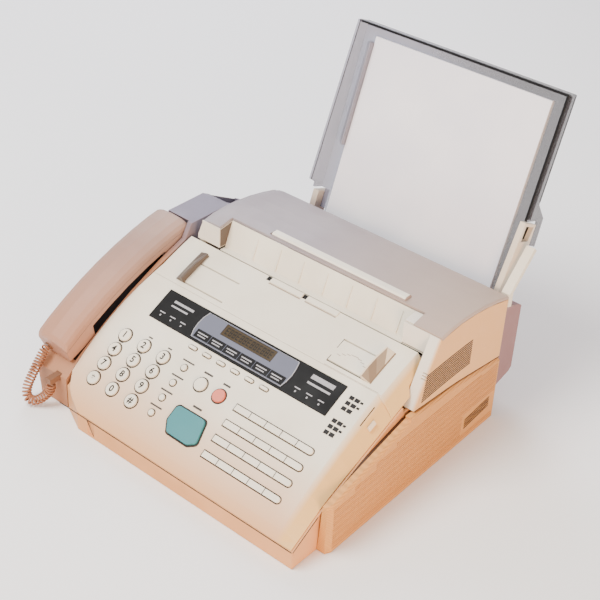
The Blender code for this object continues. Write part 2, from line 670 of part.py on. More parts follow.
# --- printer unit --------------------------------------------------------------------
def printer_housing():
    """Side walls, front band and bottom flange round the print engine; open at top and back."""
    outline = [(housing_front(88.0), 88.0), (housing_front(BAND_TOP), BAND_TOP), (190.9, BAND_TOP),
               (190.9, 150.1)]
    outline += [(y, cover_z(y) - 3.5) for y in (200.0, 222.0, 245.0, 270.0, BODY_BACK)]
    outline += [(BODY_BACK, housing_foot(BODY_BACK)), (225.0, 84.0)]
    made = node("printer_housing", along_x(outline, HOUSING_LEFT, PRINTER_RIGHT), IVORY)
    inner = [(housing_front(91.0) + 3.0, 91.0), (194.2, 150.0), (206.0, 190.0), (BODY_BACK + 4.0, 190.0),
             (BODY_BACK + 4.0, housing_foot(BODY_BACK) + 3.0), (225.0, 87.0)]
    carve(made, along_x(inner, PRINTER_LEFT + WALL, PRINTER_RIGHT - WALL))
    through = [(housing_front(84.0) + 4.0, 70.0), (housing_front(95.0) + 4.0, 95.0), (BODY_BACK + 4.0, 95.0),
               (BODY_BACK + 4.0, 60.0)]
    carve(made, along_x(through, BODY_LEFT + 18.0 + WALL, BODY_RIGHT - 3.0))
    carve(made, box((HOUSING_LEFT - 5.0, 140.0, 96.0), (CHEEK, BAND_FRONT, 180.0)))
    carve(made, box((HOUSING_LEFT - 5.0, 185.0, 97.0), (PRINTER_LEFT + 6.0, 192.8, BAND_FOOT - 0.6)))
    shoulder = loft([[Vector((x, y, z)) for x, z in ((HOUSING_LEFT - 3.0, 133.0), (HOUSING_LEFT - 0.1, 133.0),
                                                     (PRINTER_LEFT, 149.5), (PRINTER_LEFT, 175.0),
                                                     (HOUSING_LEFT - 3.0, 175.0))] for y in (150.0, 320.0)])
    carve(made, shoulder)
    band = [(BAND_FRONT, BAND_FOOT), (BAND_FRONT, BAND_TOP), (190.9, BAND_TOP), (190.9, 150.1), (194.5, 150.6),
            (194.5, BAND_FOOT)]
    join_on(made, along_x(band, PRINTER_LEFT + 0.5, CHEEK + 2.0))
    carve(made, box((MOUTH_LEFT, 150.0, 95.0), (MOUTH_RIGHT, 204.0, 180.0)))
    wall = [(190.4, BAND_FOOT), (190.4, 150.1), (200.0, 151.8), (208.6, 153.2), (200.0, BAND_FOOT)]
    join_on(made, merged(along_x(wall, MOUTH_LEFT - 2.5, MOUTH_LEFT),
                         along_x(wall, MOUTH_RIGHT, MOUTH_RIGHT + 2.5)))
    shelf = [(192.0, 149.5), (192.0, 153.0), (208.6, 154.4), (208.6, 149.5)]
    join_on(made, along_x(shelf, MOUTH_RIGHT, COVER_NOTCH - GAP))
    vents = []
    for k in range(12):
        base = 95.0 + 2.45 * k
        ys = stations(168.0 + 0.4 * k, 246.0, 7)
        arc = [base - 3.5 + 4.5 * math.sin(math.pi * (y - 150.0) / 190.0) for y in ys]
        vents.append(loft([[Vector((x, y, z + dz)) for x, dz in
                            ((PRINTER_RIGHT - 6.0, 0.0), (PRINTER_RIGHT + 3.0, 0.0),
                             (PRINTER_RIGHT + 3.0, 1.2), (PRINTER_RIGHT - 6.0, 1.2))]
                           for y, z in zip(ys, arc)]))
    carve(made, merged(*vents))
    ear = [(162.0, 91.0), (167.5, 91.0)]
    for step in range(7):
        angle = math.radians(-25.0 + 30.0 * step)
        ear.append((PANEL_PIVOT.y + 2.7 * math.cos(angle), PANEL_PIVOT.z + 2.7 * math.sin(angle)))
    for low, high in HINGE_EARS:
        join_on(made, along_x(ear, low, high))
    carve(made, turned_x(PANEL_PIVOT, [(-292.0, ROD_RADIUS + GAP), (-18.0, ROD_RADIUS + GAP)], 12))


def printer_cover():
    """Crowned lid over the print engine, hinged along its rear edge, cut away at the mouth."""
    front = 191.2
    ys = [front] + [CROWN_Y - 16.0, CROWN_Y, 240.0, 262.0, 284.0, BODY_BACK + 0.5]
    left_round = 8.0
    xs = [(PRINTER_LEFT, left_round), (PRINTER_LEFT + 2.0, 3.4), (PRINTER_LEFT + 6.0, 0.9),
          (PRINTER_LEFT + 12.0, 0.0), (PRINTER_RIGHT - 1.5, 0.0), (PRINTER_RIGHT, 1.2)]
    rings = []
    for x, fall in xs:
        drop = min(fall, 2.6)
        under = [(y, cover_z(y) - 3.0) for y in reversed(ys)]
        over = [(y, cover_z(y) - drop) for y in ys]
        rings.append([Vector((x, y, z)) for y, z in over + under])
    made = node("printer_cover", loft(rings), LAVENDER, COVER_PIVOT)
    cutaway = [(180.0, 140.0), (209.5, 140.0), (209.5, 170.0), (180.0, 170.0)]
    lip = [(211.0, 155.0), (211.0, cover_z(211.0) + 1.6), (213.0, cover_z(213.0) + 3.0),
           (219.0, cover_z(219.0) + 2.6), (221.0, cover_z(221.0) + 0.6), (221.0, 155.5)]
    join_on(made, along_x(lip, -217.0, -51.0))
    carve(made, along_x(cutaway, MOUTH_LEFT - 0.5, COVER_NOTCH))


def output_ramp():
    """Ribbed back wall of the print mouth, with a floor that reaches forward to the feeder table."""
    foot, head = Vector((0.0, 197.5, 127.0)), Vector((0.0, 208.6, 154.2))
    outline = [(RAMP_LIP, foot.z - 0.6), (RAMP_LIP, foot.z + 0.4), (foot.y + 0.2, foot.z + 0.4),
               (head.y, head.z), (head.y + 0.4, head.z - 3.0), (foot.y + 3.2, foot.z - 0.6)]
    made = node("output_ramp", along_x(outline, MOUTH_LEFT + 0.5, MOUTH_RIGHT - 0.5), IVORY)
    lean = (head - foot).normalized()
    out = Vector((0.0, -lean.z, lean.y))
    ribs = []
    for k in range(7):
        x = -230.0 + 30.1 * k
        corners = [foot + lean * 2.0 - out * 1.0, foot + lean * 24.0 - out * 1.0,
                   foot + lean * 24.0 + out * 0.5, foot + lean * 2.0 + out * 1.2]
        ribs.append(along_x([(c.y, c.z) for c in corners], x, x + 1.0))
    join_on(made, merged(*ribs))


def print_engine():
    """Platen roller, carriage on its rod, and the cartridge in the carriage."""
    node("platen_roller", turned_x(PLATEN_AXIS, [(-282.0, 3.0), (-246.0, 3.0), (-245.9, 9.0), (-25.1, 9.0),
                                                 (-25.0, 3.0), (-6.0, 3.0)], 18), RUBBER, PLATEN_AXIS)
    node("carriage_rod", turned_x(ROD_AXIS, [(-284.0, 4.0), (-4.0, 4.0)], 16), STEEL)
    carriage = node("print_carriage", box((-160.0, 240.0, 112.0), (-112.0, 272.0, 136.0)), BLACK)
    carve(carriage, merged(turned_x(ROD_AXIS, [(-170.0, 4.4), (-100.0, 4.4)], 16),
                           box((-155.0, 236.0, 120.0), (-117.0, 255.0, 150.0))))
    node("ink_cartridge", box((-154.4, 237.0, 120.6), (-117.6, 254.4, 144.5)), BLACK)


def tray_outline(points):
    """(along, out) pairs of the paper plane as (y, z) pairs."""
    places = [on_tray(0.0, along, out) for along, out in points]
    return [(place.y, place.z) for place in places]


def rear_feed_housing():
    """Box behind the printer, open towards it, with a slot for the tray and a post at each side."""
    outline = [(302.6, 22.0), (340.0, 32.0), (344.0, 36.0), (344.0, 112.0), (340.0, 115.0), (302.6, 129.0)]
    made = node("rear_feed_housing", along_x(outline, -270.0, 0.0), IVORY)
    inner = [(300.0, 24.6), (339.0, 35.0), (341.5, 38.0), (341.5, 110.5), (300.0, 126.0)]
    carve(made, along_x(inner, -267.0, -3.0))
    slot = [(300.0, 100.0), (334.0, 100.0), (334.0, 150.0), (300.0, 150.0)]
    carve(made, along_x(slot, -248.0, -16.0))
    right = tray_outline([(-32.0, 14.0), (-7.0, 17.0), (60.9, 9.5), (58.0, -14.0), (-32.0, -14.0)])
    join_on(made, along_x(right, *POST_RIGHT))
    left = tray_outline([(-30.0, 6.0), (4.0, 6.0), (4.0, -14.0), (-30.0, -14.0)])
    join_on(made, along_x(left, *POST_LEFT))
    pocket = tray_outline([(41.0, -8.0), (41.0, 6.5), (57.0, 5.5), (55.5, -11.0)])
    carve(made, along_x(pocket, POST_RIGHT[1] - 4.5, POST_RIGHT[1] + 5.0))
    carve(made, turned_x(LEVER_PIVOT, [(POST_RIGHT[1] - 4.0, 2.2), (POST_RIGHT[1] + 1.0, 2.2)], 12))


def paper_tray():
    """Clear smoke tray: back plate, side walls and a top rail, standing in the rear housing."""
    front, back, low = 9.0, -6.5, -14.0
    outline = tray_outline([(low, back), (low, front), (TRAY_TOP, front), (TRAY_TOP, back)])
    made = node("paper_tray", along_x(outline, TRAY_LEFT, TRAY_RIGHT), SMOKE)
    inner = tray_outline([(low - 4.0, back + 2.4), (low - 4.0, front + 4.0),
                          (TRAY_TOP - 2.4, front + 4.0), (TRAY_TOP - 2.4, back + 2.4)])
    carve(made, along_x(inner, TRAY_LEFT + 2.4, TRAY_RIGHT - 2.4))
    flare = tray_outline([(7.4, -4.0), (15.8, 19.8), (TRAY_TOP, 12.4), (TRAY_TOP, -4.0)])
    join_on(made, along_x(flare, TRAY_LEFT, TRAY_LEFT + 2.4))
    left_gap = tray_outline([(low - 2.0, -8.0), (7.0, -8.0), (7.0, 12.0), (low - 2.0, 12.0)])
    carve(made, along_x(left_gap, TRAY_LEFT - 1.0, POST_LEFT[1] + 0.6))
    right_gap = tray_outline([(low - 2.0, -8.0), (62.0, -8.0), (62.0, 12.0), (low - 2.0, 12.0)])
    carve(made, along_x(right_gap, POST_RIGHT[0] - 0.6, TRAY_RIGHT + 1.0))
    fin = tray_outline([(80.0, -5.0), (64.2, -25.7), (34.1, -27.3), (36.0, -15.5), (61.0, -15.5), (62.6, -5.0)])
    join_on(made, along_x(fin, TRAY_RIGHT - 2.4, TRAY_RIGHT))
    for x in (TRAY_LEFT + 14.0, TRAY_RIGHT - 28.0):
        leg = tray_outline([(-40.0, back), (-40.0, back + 2.4), (low + 4.0, back + 2.4), (low + 4.0, back)])
        join_on(made, along_x(leg, x, x + 12.0))


def paper_stack():
    width, length, thick = PAPER
    outline = tray_outline([(PAPER_TOP - length, -3.4), (PAPER_TOP - length, thick - 3.4),
                            (PAPER_TOP, thick - 3.4), (PAPER_TOP, -3.4)])
    node("paper_stack", along_x(outline, PAPER_X - width / 2, PAPER_X + width / 2), PAPER_WHITE)


def paper_guide():
    """Strip that squares the sheets' left edge."""
    edge = PAPER_X - PAPER[0] / 2 - 0.6
    outline = tray_outline([(60.0, -3.4), (60.0, 7.0), (170.0, 7.0), (170.0, -3.4)])
    made = node("paper_guide", along_x(outline, edge - 2.0, edge), TAUPE)
    flange = tray_outline([(60.0, -3.4), (60.0, -1.4), (170.0, -1.4), (170.0, -3.4)])
    join_on(made, along_x(flange, edge - 9.0, edge - 1.0))


def paper_release_lever():
    """Lever at the tray's lower right that frees the sheets, on a stub in the right post."""
    outline = [(304.6, 131.5), (304.6, 145.5), (340.0, 182.5), (344.2, 178.3), (311.0, 145.0), (311.0, 129.3)]
    made = node("paper_release_lever", along_x(outline, -3.2, 6.2), IVORY, LEVER_PIVOT)
    join_on(made, turned_x(LEVER_PIVOT, [(POST_RIGHT[1] - 3.4, 1.8), (-2.0, 1.8)], 12))


# --- inside the lower body -----------------------------------------------------------
def gear(centre, teeth, low, high, turn):
    """Straight-sided teeth with room to turn in mesh."""
    pitch = GEAR_MODULE * teeth / 2
    root, tip = pitch - 1.15 * GEAR_MODULE, pitch + 0.85 * GEAR_MODULE
    step = math.tau / teeth
    outline = []
    for k in range(teeth):
        middle = turn + k * step
        for radius, share in ((root, -0.30), (tip, -0.11), (tip, 0.11), (root, 0.30)):
            angle = middle + share * step
            outline.append((centre.y + radius * math.cos(angle), centre.z + radius * math.sin(angle)))
    return along_x(outline, low, high)


def document_drive():
    """Feed roller with its gear, and the motor with its pinion in mesh."""
    node("document_roller", turned_x(ROLLER_AXIS, [(-257.5, 2.0), (-240.0, 2.0), (-239.9, 9.0), (-50.1, 9.0),
                                                   (-50.0, 2.0), (-34.0, 2.0)], 16), RUBBER, ROLLER_AXIS)
    towards = MOTOR_AXIS - ROLLER_AXIS
    bearing = math.atan2(towards.z, towards.y)
    made = node("roller_gear", gear(ROLLER_AXIS, ROLLER_TEETH, -256.0, -251.0, bearing), IVORY, ROLLER_AXIS)
    carve(made, turned_x(ROLLER_AXIS, [(-260.0, 2.3), (-245.0, 2.3)], 16))
    half_step = math.pi / MOTOR_TEETH
    node("motor_gear", gear(MOTOR_AXIS, MOTOR_TEETH, -256.0, -251.0, bearing + math.pi + half_step), STEEL,
         MOTOR_AXIS)
    node("drive_motor", turned_x(MOTOR_AXIS, [(-286.0, 13.0), (-258.0, 13.0)], 20), STEEL)


def boards():
    board = node("main_board", box((-215.0, 60.0, 9.0), (-40.0, 200.0, 10.6)), BOARD)
    parts = [box((-190.0, 90.0, 10.0), (-160.0, 120.0, 13.0)), box((-120.0, 80.0, 10.0), (-100.0, 140.0, 14.0)),
             box((-80.0, 150.0, 10.0), (-60.0, 190.0, 20.0))]
    join_on(board, merged(*parts))
    node("power_supply", box((-298.0, 170.0, 5.0), (-225.0, 280.0, 46.0)), STEEL)
    node("image_sensor", box((-245.0, 116.0, 72.0), (-45.0, 130.0, 84.0)), BLACK)
    cone = [(-20.0, 12.0), (-12.0, 20.0), (-5.0, 20.0)]
    node("monitor_speaker", turned_x(Vector((0.0, 105.0, 34.0)), cone, 20), BLACK)


# --- handset -------------------------------------------------------------------------
def shell_ring(along, crown, seam, inset=0.0):
    """Cross section of the handset's upper shell: crowned top, rounded shoulders."""
    left, width = HANDSET_LEFT + inset, HANDSET_RIGHT - HANDSET_LEFT - 2 * inset
    profile = [(0.0, 8.0), (0.05, 4.6), (0.2, 1.5), (0.5, 0.0), (0.8, 1.5), (0.95, 4.6), (1.0, 8.0)]
    ring = [in_cradle(left + width * share, along, crown - fall) for share, fall in profile]
    return ring + [in_cradle(left + width, along, seam), in_cradle(left, along, seam)]


def handset_underside(along):
    """Foot plane under both heads, and the arch of the grip between them."""
    arch = handset_crown(along) - 23.0
    ends = min(along, HANDSET_LENGTH - along)
    blend = min(max((ends - HEAD_LENGTH) / 3.0, 0.0), 1.0)
    return arch * blend


def handset():
    """Two shells that meet on a seam below the shoulders; the lower one carries both heads."""
    ends = ((0.0, 4.6), (1.6, 2.0), (4.5, 0.5))
    places = [(along, dip) for along, dip in ends]
    places += [(HANDSET_LENGTH * share, 0.0) for share in (0.1, 0.22, 0.36, 0.5, 0.64, 0.78, 0.9)]
    places += [(HANDSET_LENGTH - along, dip) for along, dip in reversed(ends)]
    rings = [shell_ring(along, handset_crown(along) - dip, handset_crown(along) - SHELL_SEAM)
             for along, dip in places]
    upper = node("handset_top_shell", loft(rings), BEIGE, smooth=40.0)
    inner = [shell_ring(along, handset_crown(along) - WALL, handset_crown(along) - SHELL_SEAM - 6.0, WALL)
             for along in stations(6.0, HANDSET_LENGTH - 6.0, 7)]
    carve(upper, loft(inner))
    rings = []
    for along in (0.0, 16.0, 36.0, 39.0, 66.0, 93.5, 121.0, 148.0, 151.0, 171.0, HANDSET_LENGTH):
        seam, low = handset_crown(along) - SHELL_SEAM - GAP, handset_underside(along)
        rings.append([in_cradle(x, along, up) for x, up in (
            (HANDSET_LEFT, seam), (HANDSET_RIGHT, seam), (HANDSET_RIGHT - 0.8, low + 3.0),
            (HANDSET_RIGHT - 4.0, low), (HANDSET_LEFT + 4.0, low), (HANDSET_LEFT + 0.8, low + 3.0))])
    lower = node("handset_bottom_shell", loft(rings), BEIGE, smooth=40.0)
    cups = [loft([[in_cradle(HANDSET_LEFT + 3.0, along, 3.0), in_cradle(HANDSET_RIGHT - 3.0, along, 3.0),
                   in_cradle(HANDSET_RIGHT - 3.0, along, 60.0), in_cradle(HANDSET_LEFT + 3.0, along, 60.0)]
                  for along in (low, low + 26.0)]) for low in (3.0, HANDSET_LENGTH - 29.0)]
    carve(lower, merged(*cups))
    carve(lower, hand_plug_bar(GAP, -2.0, 12.0))


# --- cord ----------------------------------------------------------------------------
def hand_plug_bar(grow, low, high):
    """The plug's square body in the handset's front end, as a bar along the handset."""
    x, up = HAND_JACK
    half = HAND_PLUG_HALF + grow
    corners = ((-half, -half), (half, -half), (half, half), (-half, half))
    return loft([[in_cradle(x + a, along, up + b) for a, b in corners] for along in (low, high)])


def smooth_route(points, count):
    """A Catmull-Rom curve through the points, sampled evenly in its parameter."""
    knots = [Vector(p) for p in points]
    knots = [2 * knots[0] - knots[1]] + knots + [2 * knots[-1] - knots[-2]]
    curve = []
    spans = len(knots) - 3
    for i in range(count):
        t = spans * i / (count - 1)
        k = min(int(t), spans - 1)
        u = t - k
        a, b, c, d = knots[k:k + 4]
        curve.append(0.5 * (2 * b + (c - a) * u + (2 * a - 5 * b + 4 * c - d) * u * u
                            + (3 * b - a - 3 * c + d) * u ** 3))
    return curve


def cord_line():
    """Centre line of the cord, square to each plug where it meets it."""
    x, up = HAND_JACK
    start, after = (in_cradle(x, -HAND_PLUG_OUT - CORD_GAP - reach, up) for reach in (0.0, CORD_LEAD))
    end = Vector((BASE_JACK.x, CORD_END_Y, BASE_JACK.z - BASE_PLUG_HALF[1] - CORD_GAP))
    before = end - Vector((0.0, 0.0, CORD_LEAD))
    return [start] + smooth_route([after, *CORD_ROUTE, before], 24) + [end]


def cord():
    """Curly cord as one fat tube of its outer diameter, with a plug in each socket."""
    route = cord_line()
    data = bpy.data.curves.new("handset_cord", "CURVE")
    data.dimensions = "3D"
    data.bevel_depth = CORD_RADIUS * MM
    data.bevel_resolution = 3
    data.use_fill_caps = True
    spline = data.splines.new("POLY")
    spline.points.add(len(route) - 1)
    for point, place in zip(spline.points, route):
        point.co = (*((place + FRONT_RIGHT) * MM), 1.0)
    made = bpy.data.objects.new("handset_cord", data)
    made.data.materials.append(material("handset_cord", BEIGE))
    bpy.context.scene.collection.objects.link(made)
    node("handset_plug", hand_plug_bar(0.0, -HAND_PLUG_OUT, 10.0), BLACK)
    wide, high = BASE_PLUG_HALF
    node("base_plug", box((BASE_JACK.x - wide, CORD_END_Y - 4.0, BASE_JACK.z - high),
                          (BASE_JACK.x + wide, BASE_JACK.y + 9.0, BASE_JACK.z + high)), BLACK)


def main():
    for leftover in list(bpy.data.objects):
        bpy.data.objects.remove(leftover)
    base_chassis()
    right_side_cover()
    handset_cradle()
    hook_switch()
    operation_panel()
    dial_keys()
    single_keys()
    grouped_keys()
    rapid_rows()
    display()
    key_board()
    feeder_table()
    document_guides()
    panel_catch()
    hinge_rod()
    printer_housing()
    printer_cover()
    output_ramp()
    print_engine()
    rear_feed_housing()
    paper_tray()
    paper_stack()
    paper_guide()
    paper_release_lever()
    document_drive()
    boards()
    handset()
    cord()


main()
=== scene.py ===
"""Looks of the desktop fax machine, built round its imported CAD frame."""
import math

import bmesh
import bpy
from mathutils import Matrix, Vector


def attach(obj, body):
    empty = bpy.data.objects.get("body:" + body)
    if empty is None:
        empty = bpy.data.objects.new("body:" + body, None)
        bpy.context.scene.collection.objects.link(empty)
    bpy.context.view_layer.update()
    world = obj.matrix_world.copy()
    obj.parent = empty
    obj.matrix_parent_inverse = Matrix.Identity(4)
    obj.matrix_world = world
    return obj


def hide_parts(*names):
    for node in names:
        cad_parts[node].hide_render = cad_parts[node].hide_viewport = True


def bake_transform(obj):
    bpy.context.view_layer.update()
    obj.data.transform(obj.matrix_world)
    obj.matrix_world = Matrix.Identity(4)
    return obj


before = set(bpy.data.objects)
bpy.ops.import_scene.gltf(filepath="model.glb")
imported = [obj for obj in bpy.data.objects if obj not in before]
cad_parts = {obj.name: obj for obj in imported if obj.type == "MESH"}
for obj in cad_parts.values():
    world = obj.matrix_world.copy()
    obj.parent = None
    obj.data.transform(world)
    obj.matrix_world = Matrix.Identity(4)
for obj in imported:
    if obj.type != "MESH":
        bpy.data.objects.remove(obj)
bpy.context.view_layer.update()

# --- the CAD's own working coordinates: mm from the lower body's front right corner ----
MM = 0.001
FRONT_RIGHT = Vector((174.2, -199.2, 0.0))
HANDSET_FOOT = Vector((0.0, 29.0, 45.0))
HANDSET_TILT = math.radians(22.8)
HANDSET_LENGTH = 187.0
TRAY_FOOT = Vector((0.0, 328.0, 144.5))
TRAY_TILT = math.radians(19.9)
DIAL_COLUMNS = (-282.8, -256.4, -230.0)
DIAL_ROWS = (71.7, 56.9, 42.4, 28.0)
RAPID_ROWS = (66.8, 51.9, 37.8, 23.5)
RAPID_LEFT, RAPID_RIGHT = -130.0, -36.0
RAPID_HALF = 3.0           # half height of a rapid-dial row
FUNCTION_X, FUNCTION_ROWS = -203.0, (73.1, 57.8, 43.2, 28.8)
MENU_LEFT, MENU_STEP, MENU_Y, MENU_HALF = -209.4, 18.34, 91.8, 3.3
SPEAKER_KEY, STOP_KEY, START_KEY = (-176.2, 68.1), (-152.0, 67.6), (-163.5, 34.5)
START_OUTLINE = ((-19.6, -4.0), (-12.5, -15.0), (13.5, -15.5), (22.5, -10.0), (17.0, 13.0), (-19.0, 12.8))
START_SIZE, START_ROUND = (16.0, 13.0), 4.5
HOOK_X, HOOK_ALONG = -336.0, 160.0           # hook plunger, across and along the cradle
TRAY_LEFT, TRAY_RIGHT, TRAY_TOP = -256.0, -8.0, 189.0
DISPLAY_Y = 113.0
BEZEL_TOP, GLASS_TOP, DISPLAY_TOP = 0.55, 0.62, 0.9    # heights of the display's marks
HOUSING_FACE = 6.84        # just outside the printer housing's right face
STRIP_OUT = Vector((0.12, 0.0, 0.0))         # thickness of the strips on the right side
FRONT_FACE = -0.02         # just in front of the lower body's front face
SKIN = 0.06                # height of printed marks above a surface
OUTLINE_RISE, KEY_TOP, RAPID_TOP = 0.02, 2.2, 1.63     # heights of marks above the panel
HEAD_MIDDLE = 18.0         # from each end of the handset to the middle of its head
PLUNGER_CLEAR = 4.4        # no sound holes closer to the hook plunger than this
CHANNEL_FLOOR = -0.32      # painted shadow on the channel floor under the handset, below its resting plane


def place(point):
    """Working millimetres to the row's metres."""
    return (Vector(point) + FRONT_RIGHT) * MM


def panel_z(y):
    """Height of the operation panel's curved top."""
    return 23.65 + 0.775 * y - 0.001186 * y * y


def seam_z(y):
    """Seam between the operation unit and the lower body, on the right."""
    return 20.0 + 0.607 * y if y <= 42.0 else 45.5 + 0.4435 * (y - 42.0)


def housing_foot(y):
    """Seam between the printer housing and the side cover."""
    return 88.0 - 4.0 * (y - 155.0) / 70.0 if y < 225.0 else 84.0 - 10.5 * (y - 225.0) / 79.0


def side_cover_top(y):
    """Upper edge of the ribbed side cover."""
    return 54.0 + 0.2625 * (y - 36.0) if y < 150.0 else housing_foot(y) - 1.35


def side_cover_foot(y):
    """How far right the side cover's foot stands; its face leans in a little above that."""
    return 12.2 - 3.5 * (y - 34.0) / 268.0


def cover_z(y):
    """Crowned top of the printer cover."""
    fall = 0.0019 if y > 222.0 else 0.0042
    return 157.5 - fall * (y - 222.0) ** 2


def panel_normal(y):
    return Vector((0.0, -(0.775 - 0.002372 * y), 1.0)).normalized()


def on_panel(x, y, height=0.0):
    return Vector((x, y, panel_z(y))) + panel_normal(y) * height


def on_display(x, y, height):
    """A point on the display's flat plane, which touches the panel's curve at DISPLAY_Y."""
    normal = panel_normal(DISPLAY_Y)
    up = normal.cross(Vector((1.0, 0.0, 0.0)))
    return on_panel(x, DISPLAY_Y) + up * ((y - DISPLAY_Y) / normal.z) + normal * height


def in_cradle(x, along, up=0.0):
    """A point on or above the slope that the handset rests on."""
    length = Vector((0.0, math.cos(HANDSET_TILT), math.sin(HANDSET_TILT)))
    rise = Vector((0.0, -math.sin(HANDSET_TILT), math.cos(HANDSET_TILT)))
    return Vector((x, HANDSET_FOOT.y, HANDSET_FOOT.z)) + length * along + rise * up


def on_tray(x, along, out=0.0):
    """A point on the tray's leaning plane, or in front of it."""
    up = Vector((0.0, math.sin(TRAY_TILT), math.cos(TRAY_TILT)))
    front = Vector((0.0, -math.cos(TRAY_TILT), math.sin(TRAY_TILT)))
    return Vector((x, TRAY_FOOT.y, TRAY_FOOT.z)) + up * along + front * out


# --- camera -----------------------------------------------------------------------------
CAMERA_PLACE = (507.4, -645.2, 842.0)
CAMERA_AZIMUTH, CAMERA_ELEVATION, CAMERA_ROLL = 38.60, 34.16, 3.28
CAMERA_LENS = 78.99


def make_camera():
    azimuth, elevation, roll = (math.radians(a) for a in (CAMERA_AZIMUTH, CAMERA_ELEVATION, CAMERA_ROLL))
    forward = Vector((-math.sin(azimuth) * math.cos(elevation), math.cos(azimuth) * math.cos(elevation),
                      -math.sin(elevation)))
    level = Vector((math.cos(azimuth), math.sin(azimuth), 0.0))
    raised = level.cross(forward)
    right = level * math.cos(roll) + raised * math.sin(roll)
    up = raised * math.cos(roll) - level * math.sin(roll)
    data = bpy.data.cameras.new("camera")
    data.sensor_width = 36.0
    data.lens = CAMERA_LENS
    camera = bpy.data.objects.new("camera", data)
    bpy.context.scene.collection.objects.link(camera)
    turn = Matrix((right, up, -forward)).transposed().to_4x4()
    camera.matrix_world = Matrix.Translation(place(CAMERA_PLACE)) @ turn
    bpy.context.scene.camera = camera


make_camera()


# --- materials --------------------------------------------------------------------------
class Look:
    """A Principled material with a small node tree on the object's own coordinates."""

    def __init__(self, name, roughness=0.5, metallic=0.0):
        self.material = bpy.data.materials.new(name)
        self.material.use_nodes = True
        self.tree = self.material.node_tree
        self.shader = self.tree.nodes["Principled BSDF"]
        self.shader.inputs["Roughness"].default_value = roughness
        self.shader.inputs["Metallic"].default_value = metallic
        self.shader.inputs["Specular IOR Level"].default_value = 0.2
        self.where = self.tree.nodes.new("ShaderNodeTexCoord").outputs["Object"]

    def add(self, kind, **settings):
        made = self.tree.nodes.new(kind)
        for key, value in settings.items():
            setattr(made, key, value)
        return made

    def link(self, out, into):
        self.tree.links.new(out, into)

    def noise(self, scale, detail=2.0, squeeze=None):
        where = self.where
        if squeeze:
            mapping = self.add("ShaderNodeMapping")
            mapping.inputs["Scale"].default_value = squeeze
            self.link(where, mapping.inputs["Vector"])
            where = mapping.outputs["Vector"]
        made = self.add("ShaderNodeTexNoise")
        made.inputs["Scale"].default_value = scale
        made.inputs["Detail"].default_value = detail
        self.link(where, made.inputs["Vector"])
        return made.outputs["Fac"]

    def ranged(self, out, low_in, high_in, low, high):
        made = self.add("ShaderNodeMapRange")
        for key, value in (("From Min", low_in), ("From Max", high_in), ("To Min", low), ("To Max", high)):
            made.inputs[key].default_value = value
        self.link(out, made.inputs["Value"])
        return made.outputs["Result"]

    def mixed(self, factor, first, second):
        made = self.add("ShaderNodeMix", data_type="RGBA")
        for socket, value in ((made.inputs[6], first), (made.inputs[7], second)):
            if isinstance(value, tuple):
                socket.default_value = (*value, 1.0)
            else:
                self.link(value, socket)
        self.link(factor, made.inputs[0])
        return made.outputs[2]

    def edges(self, radius):
        """The rounded normal, and how close a point is to an edge, from 0 to 1."""
        bevel = self.add("ShaderNodeBevel", samples=4)
        bevel.inputs["Radius"].default_value = radius
        flat = self.add("ShaderNodeNewGeometry")
        dot = self.add("ShaderNodeVectorMath", operation="DOT_PRODUCT")
        self.link(bevel.outputs["Normal"], dot.inputs[0])
        self.link(flat.outputs["Normal"], dot.inputs[1])
        return bevel.outputs["Normal"], self.ranged(dot.outputs["Value"], 0.75, 0.995, 1.0, 0.0)

    def bump(self, height, distance, normal=None, strength=1.0):
        made = self.add("ShaderNodeBump")
        made.inputs["Distance"].default_value = distance
        made.inputs["Strength"].default_value = strength
        self.link(height, made.inputs["Height"])
        if normal:
            self.link(normal, made.inputs["Normal"])
        return made.outputs["Normal"]

    def fade(self, base, node_name, axis, low, high, colour):
        """Another tone towards one side of a piece, along an axis of the row, in working millimetres: mostly
        painted warm light and painted shade.
        """
        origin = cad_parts[node_name].matrix_world.translation[axis] / MM - FRONT_RIGHT[axis]
        parts = self.add("ShaderNodeSeparateXYZ")
        self.link(self.where, parts.inputs["Vector"])
        share = self.ranged(parts.outputs[axis], (low - origin) * MM, (high - origin) * MM, 0.0, 1.0)
        return self.mixed(share, base, colour)

    def finish(self, colour=None, normal=None, roughness=None):
        for out, name in ((colour, "Base Color"), (normal, "Normal"), (roughness, "Roughness")):
            if out:
                self.link(out, self.shader.inputs[name])
        return self.material


def tint(colour, factor):
    return tuple(min(c * factor, 1.0) for c in colour)


def moulded(name, colour, rough=0.45, grain=1700.0, depth=0.00004, edge=0.0005, drift=0.06, worn=1.04,
            second=None, fades=()):
    """Moulded plastic: fine spark texture, faint drift of tone, softened and slightly worn edges."""
    look = Look(name, rough)
    cloud = look.noise(14.0, 3.0)
    base = look.mixed(look.ranged(cloud, 0.35, 0.65, 0.0, 1.0), tint(colour, 1.0 - drift),
                      second or tint(colour, 1.0 + drift * 0.5))
    # fades: painted warm light and painted shade towards one side of some pieces, and the cradle's lavender
    # rear
    for fade in fades:
        base = look.fade(base, *fade)
    soft, edge_mask = look.edges(edge)
    base = look.mixed(look.ranged(edge_mask, 0.0, 1.0, 0.0, 0.35), base, tint(colour, worn))
    speck = look.noise(grain, 4.0)
    roughness = look.ranged(look.noise(60.0, 4.0), 0.3, 0.7, rough - 0.06, rough + 0.08)
    return look.finish(base, look.bump(speck, depth, soft, 0.6), roughness)


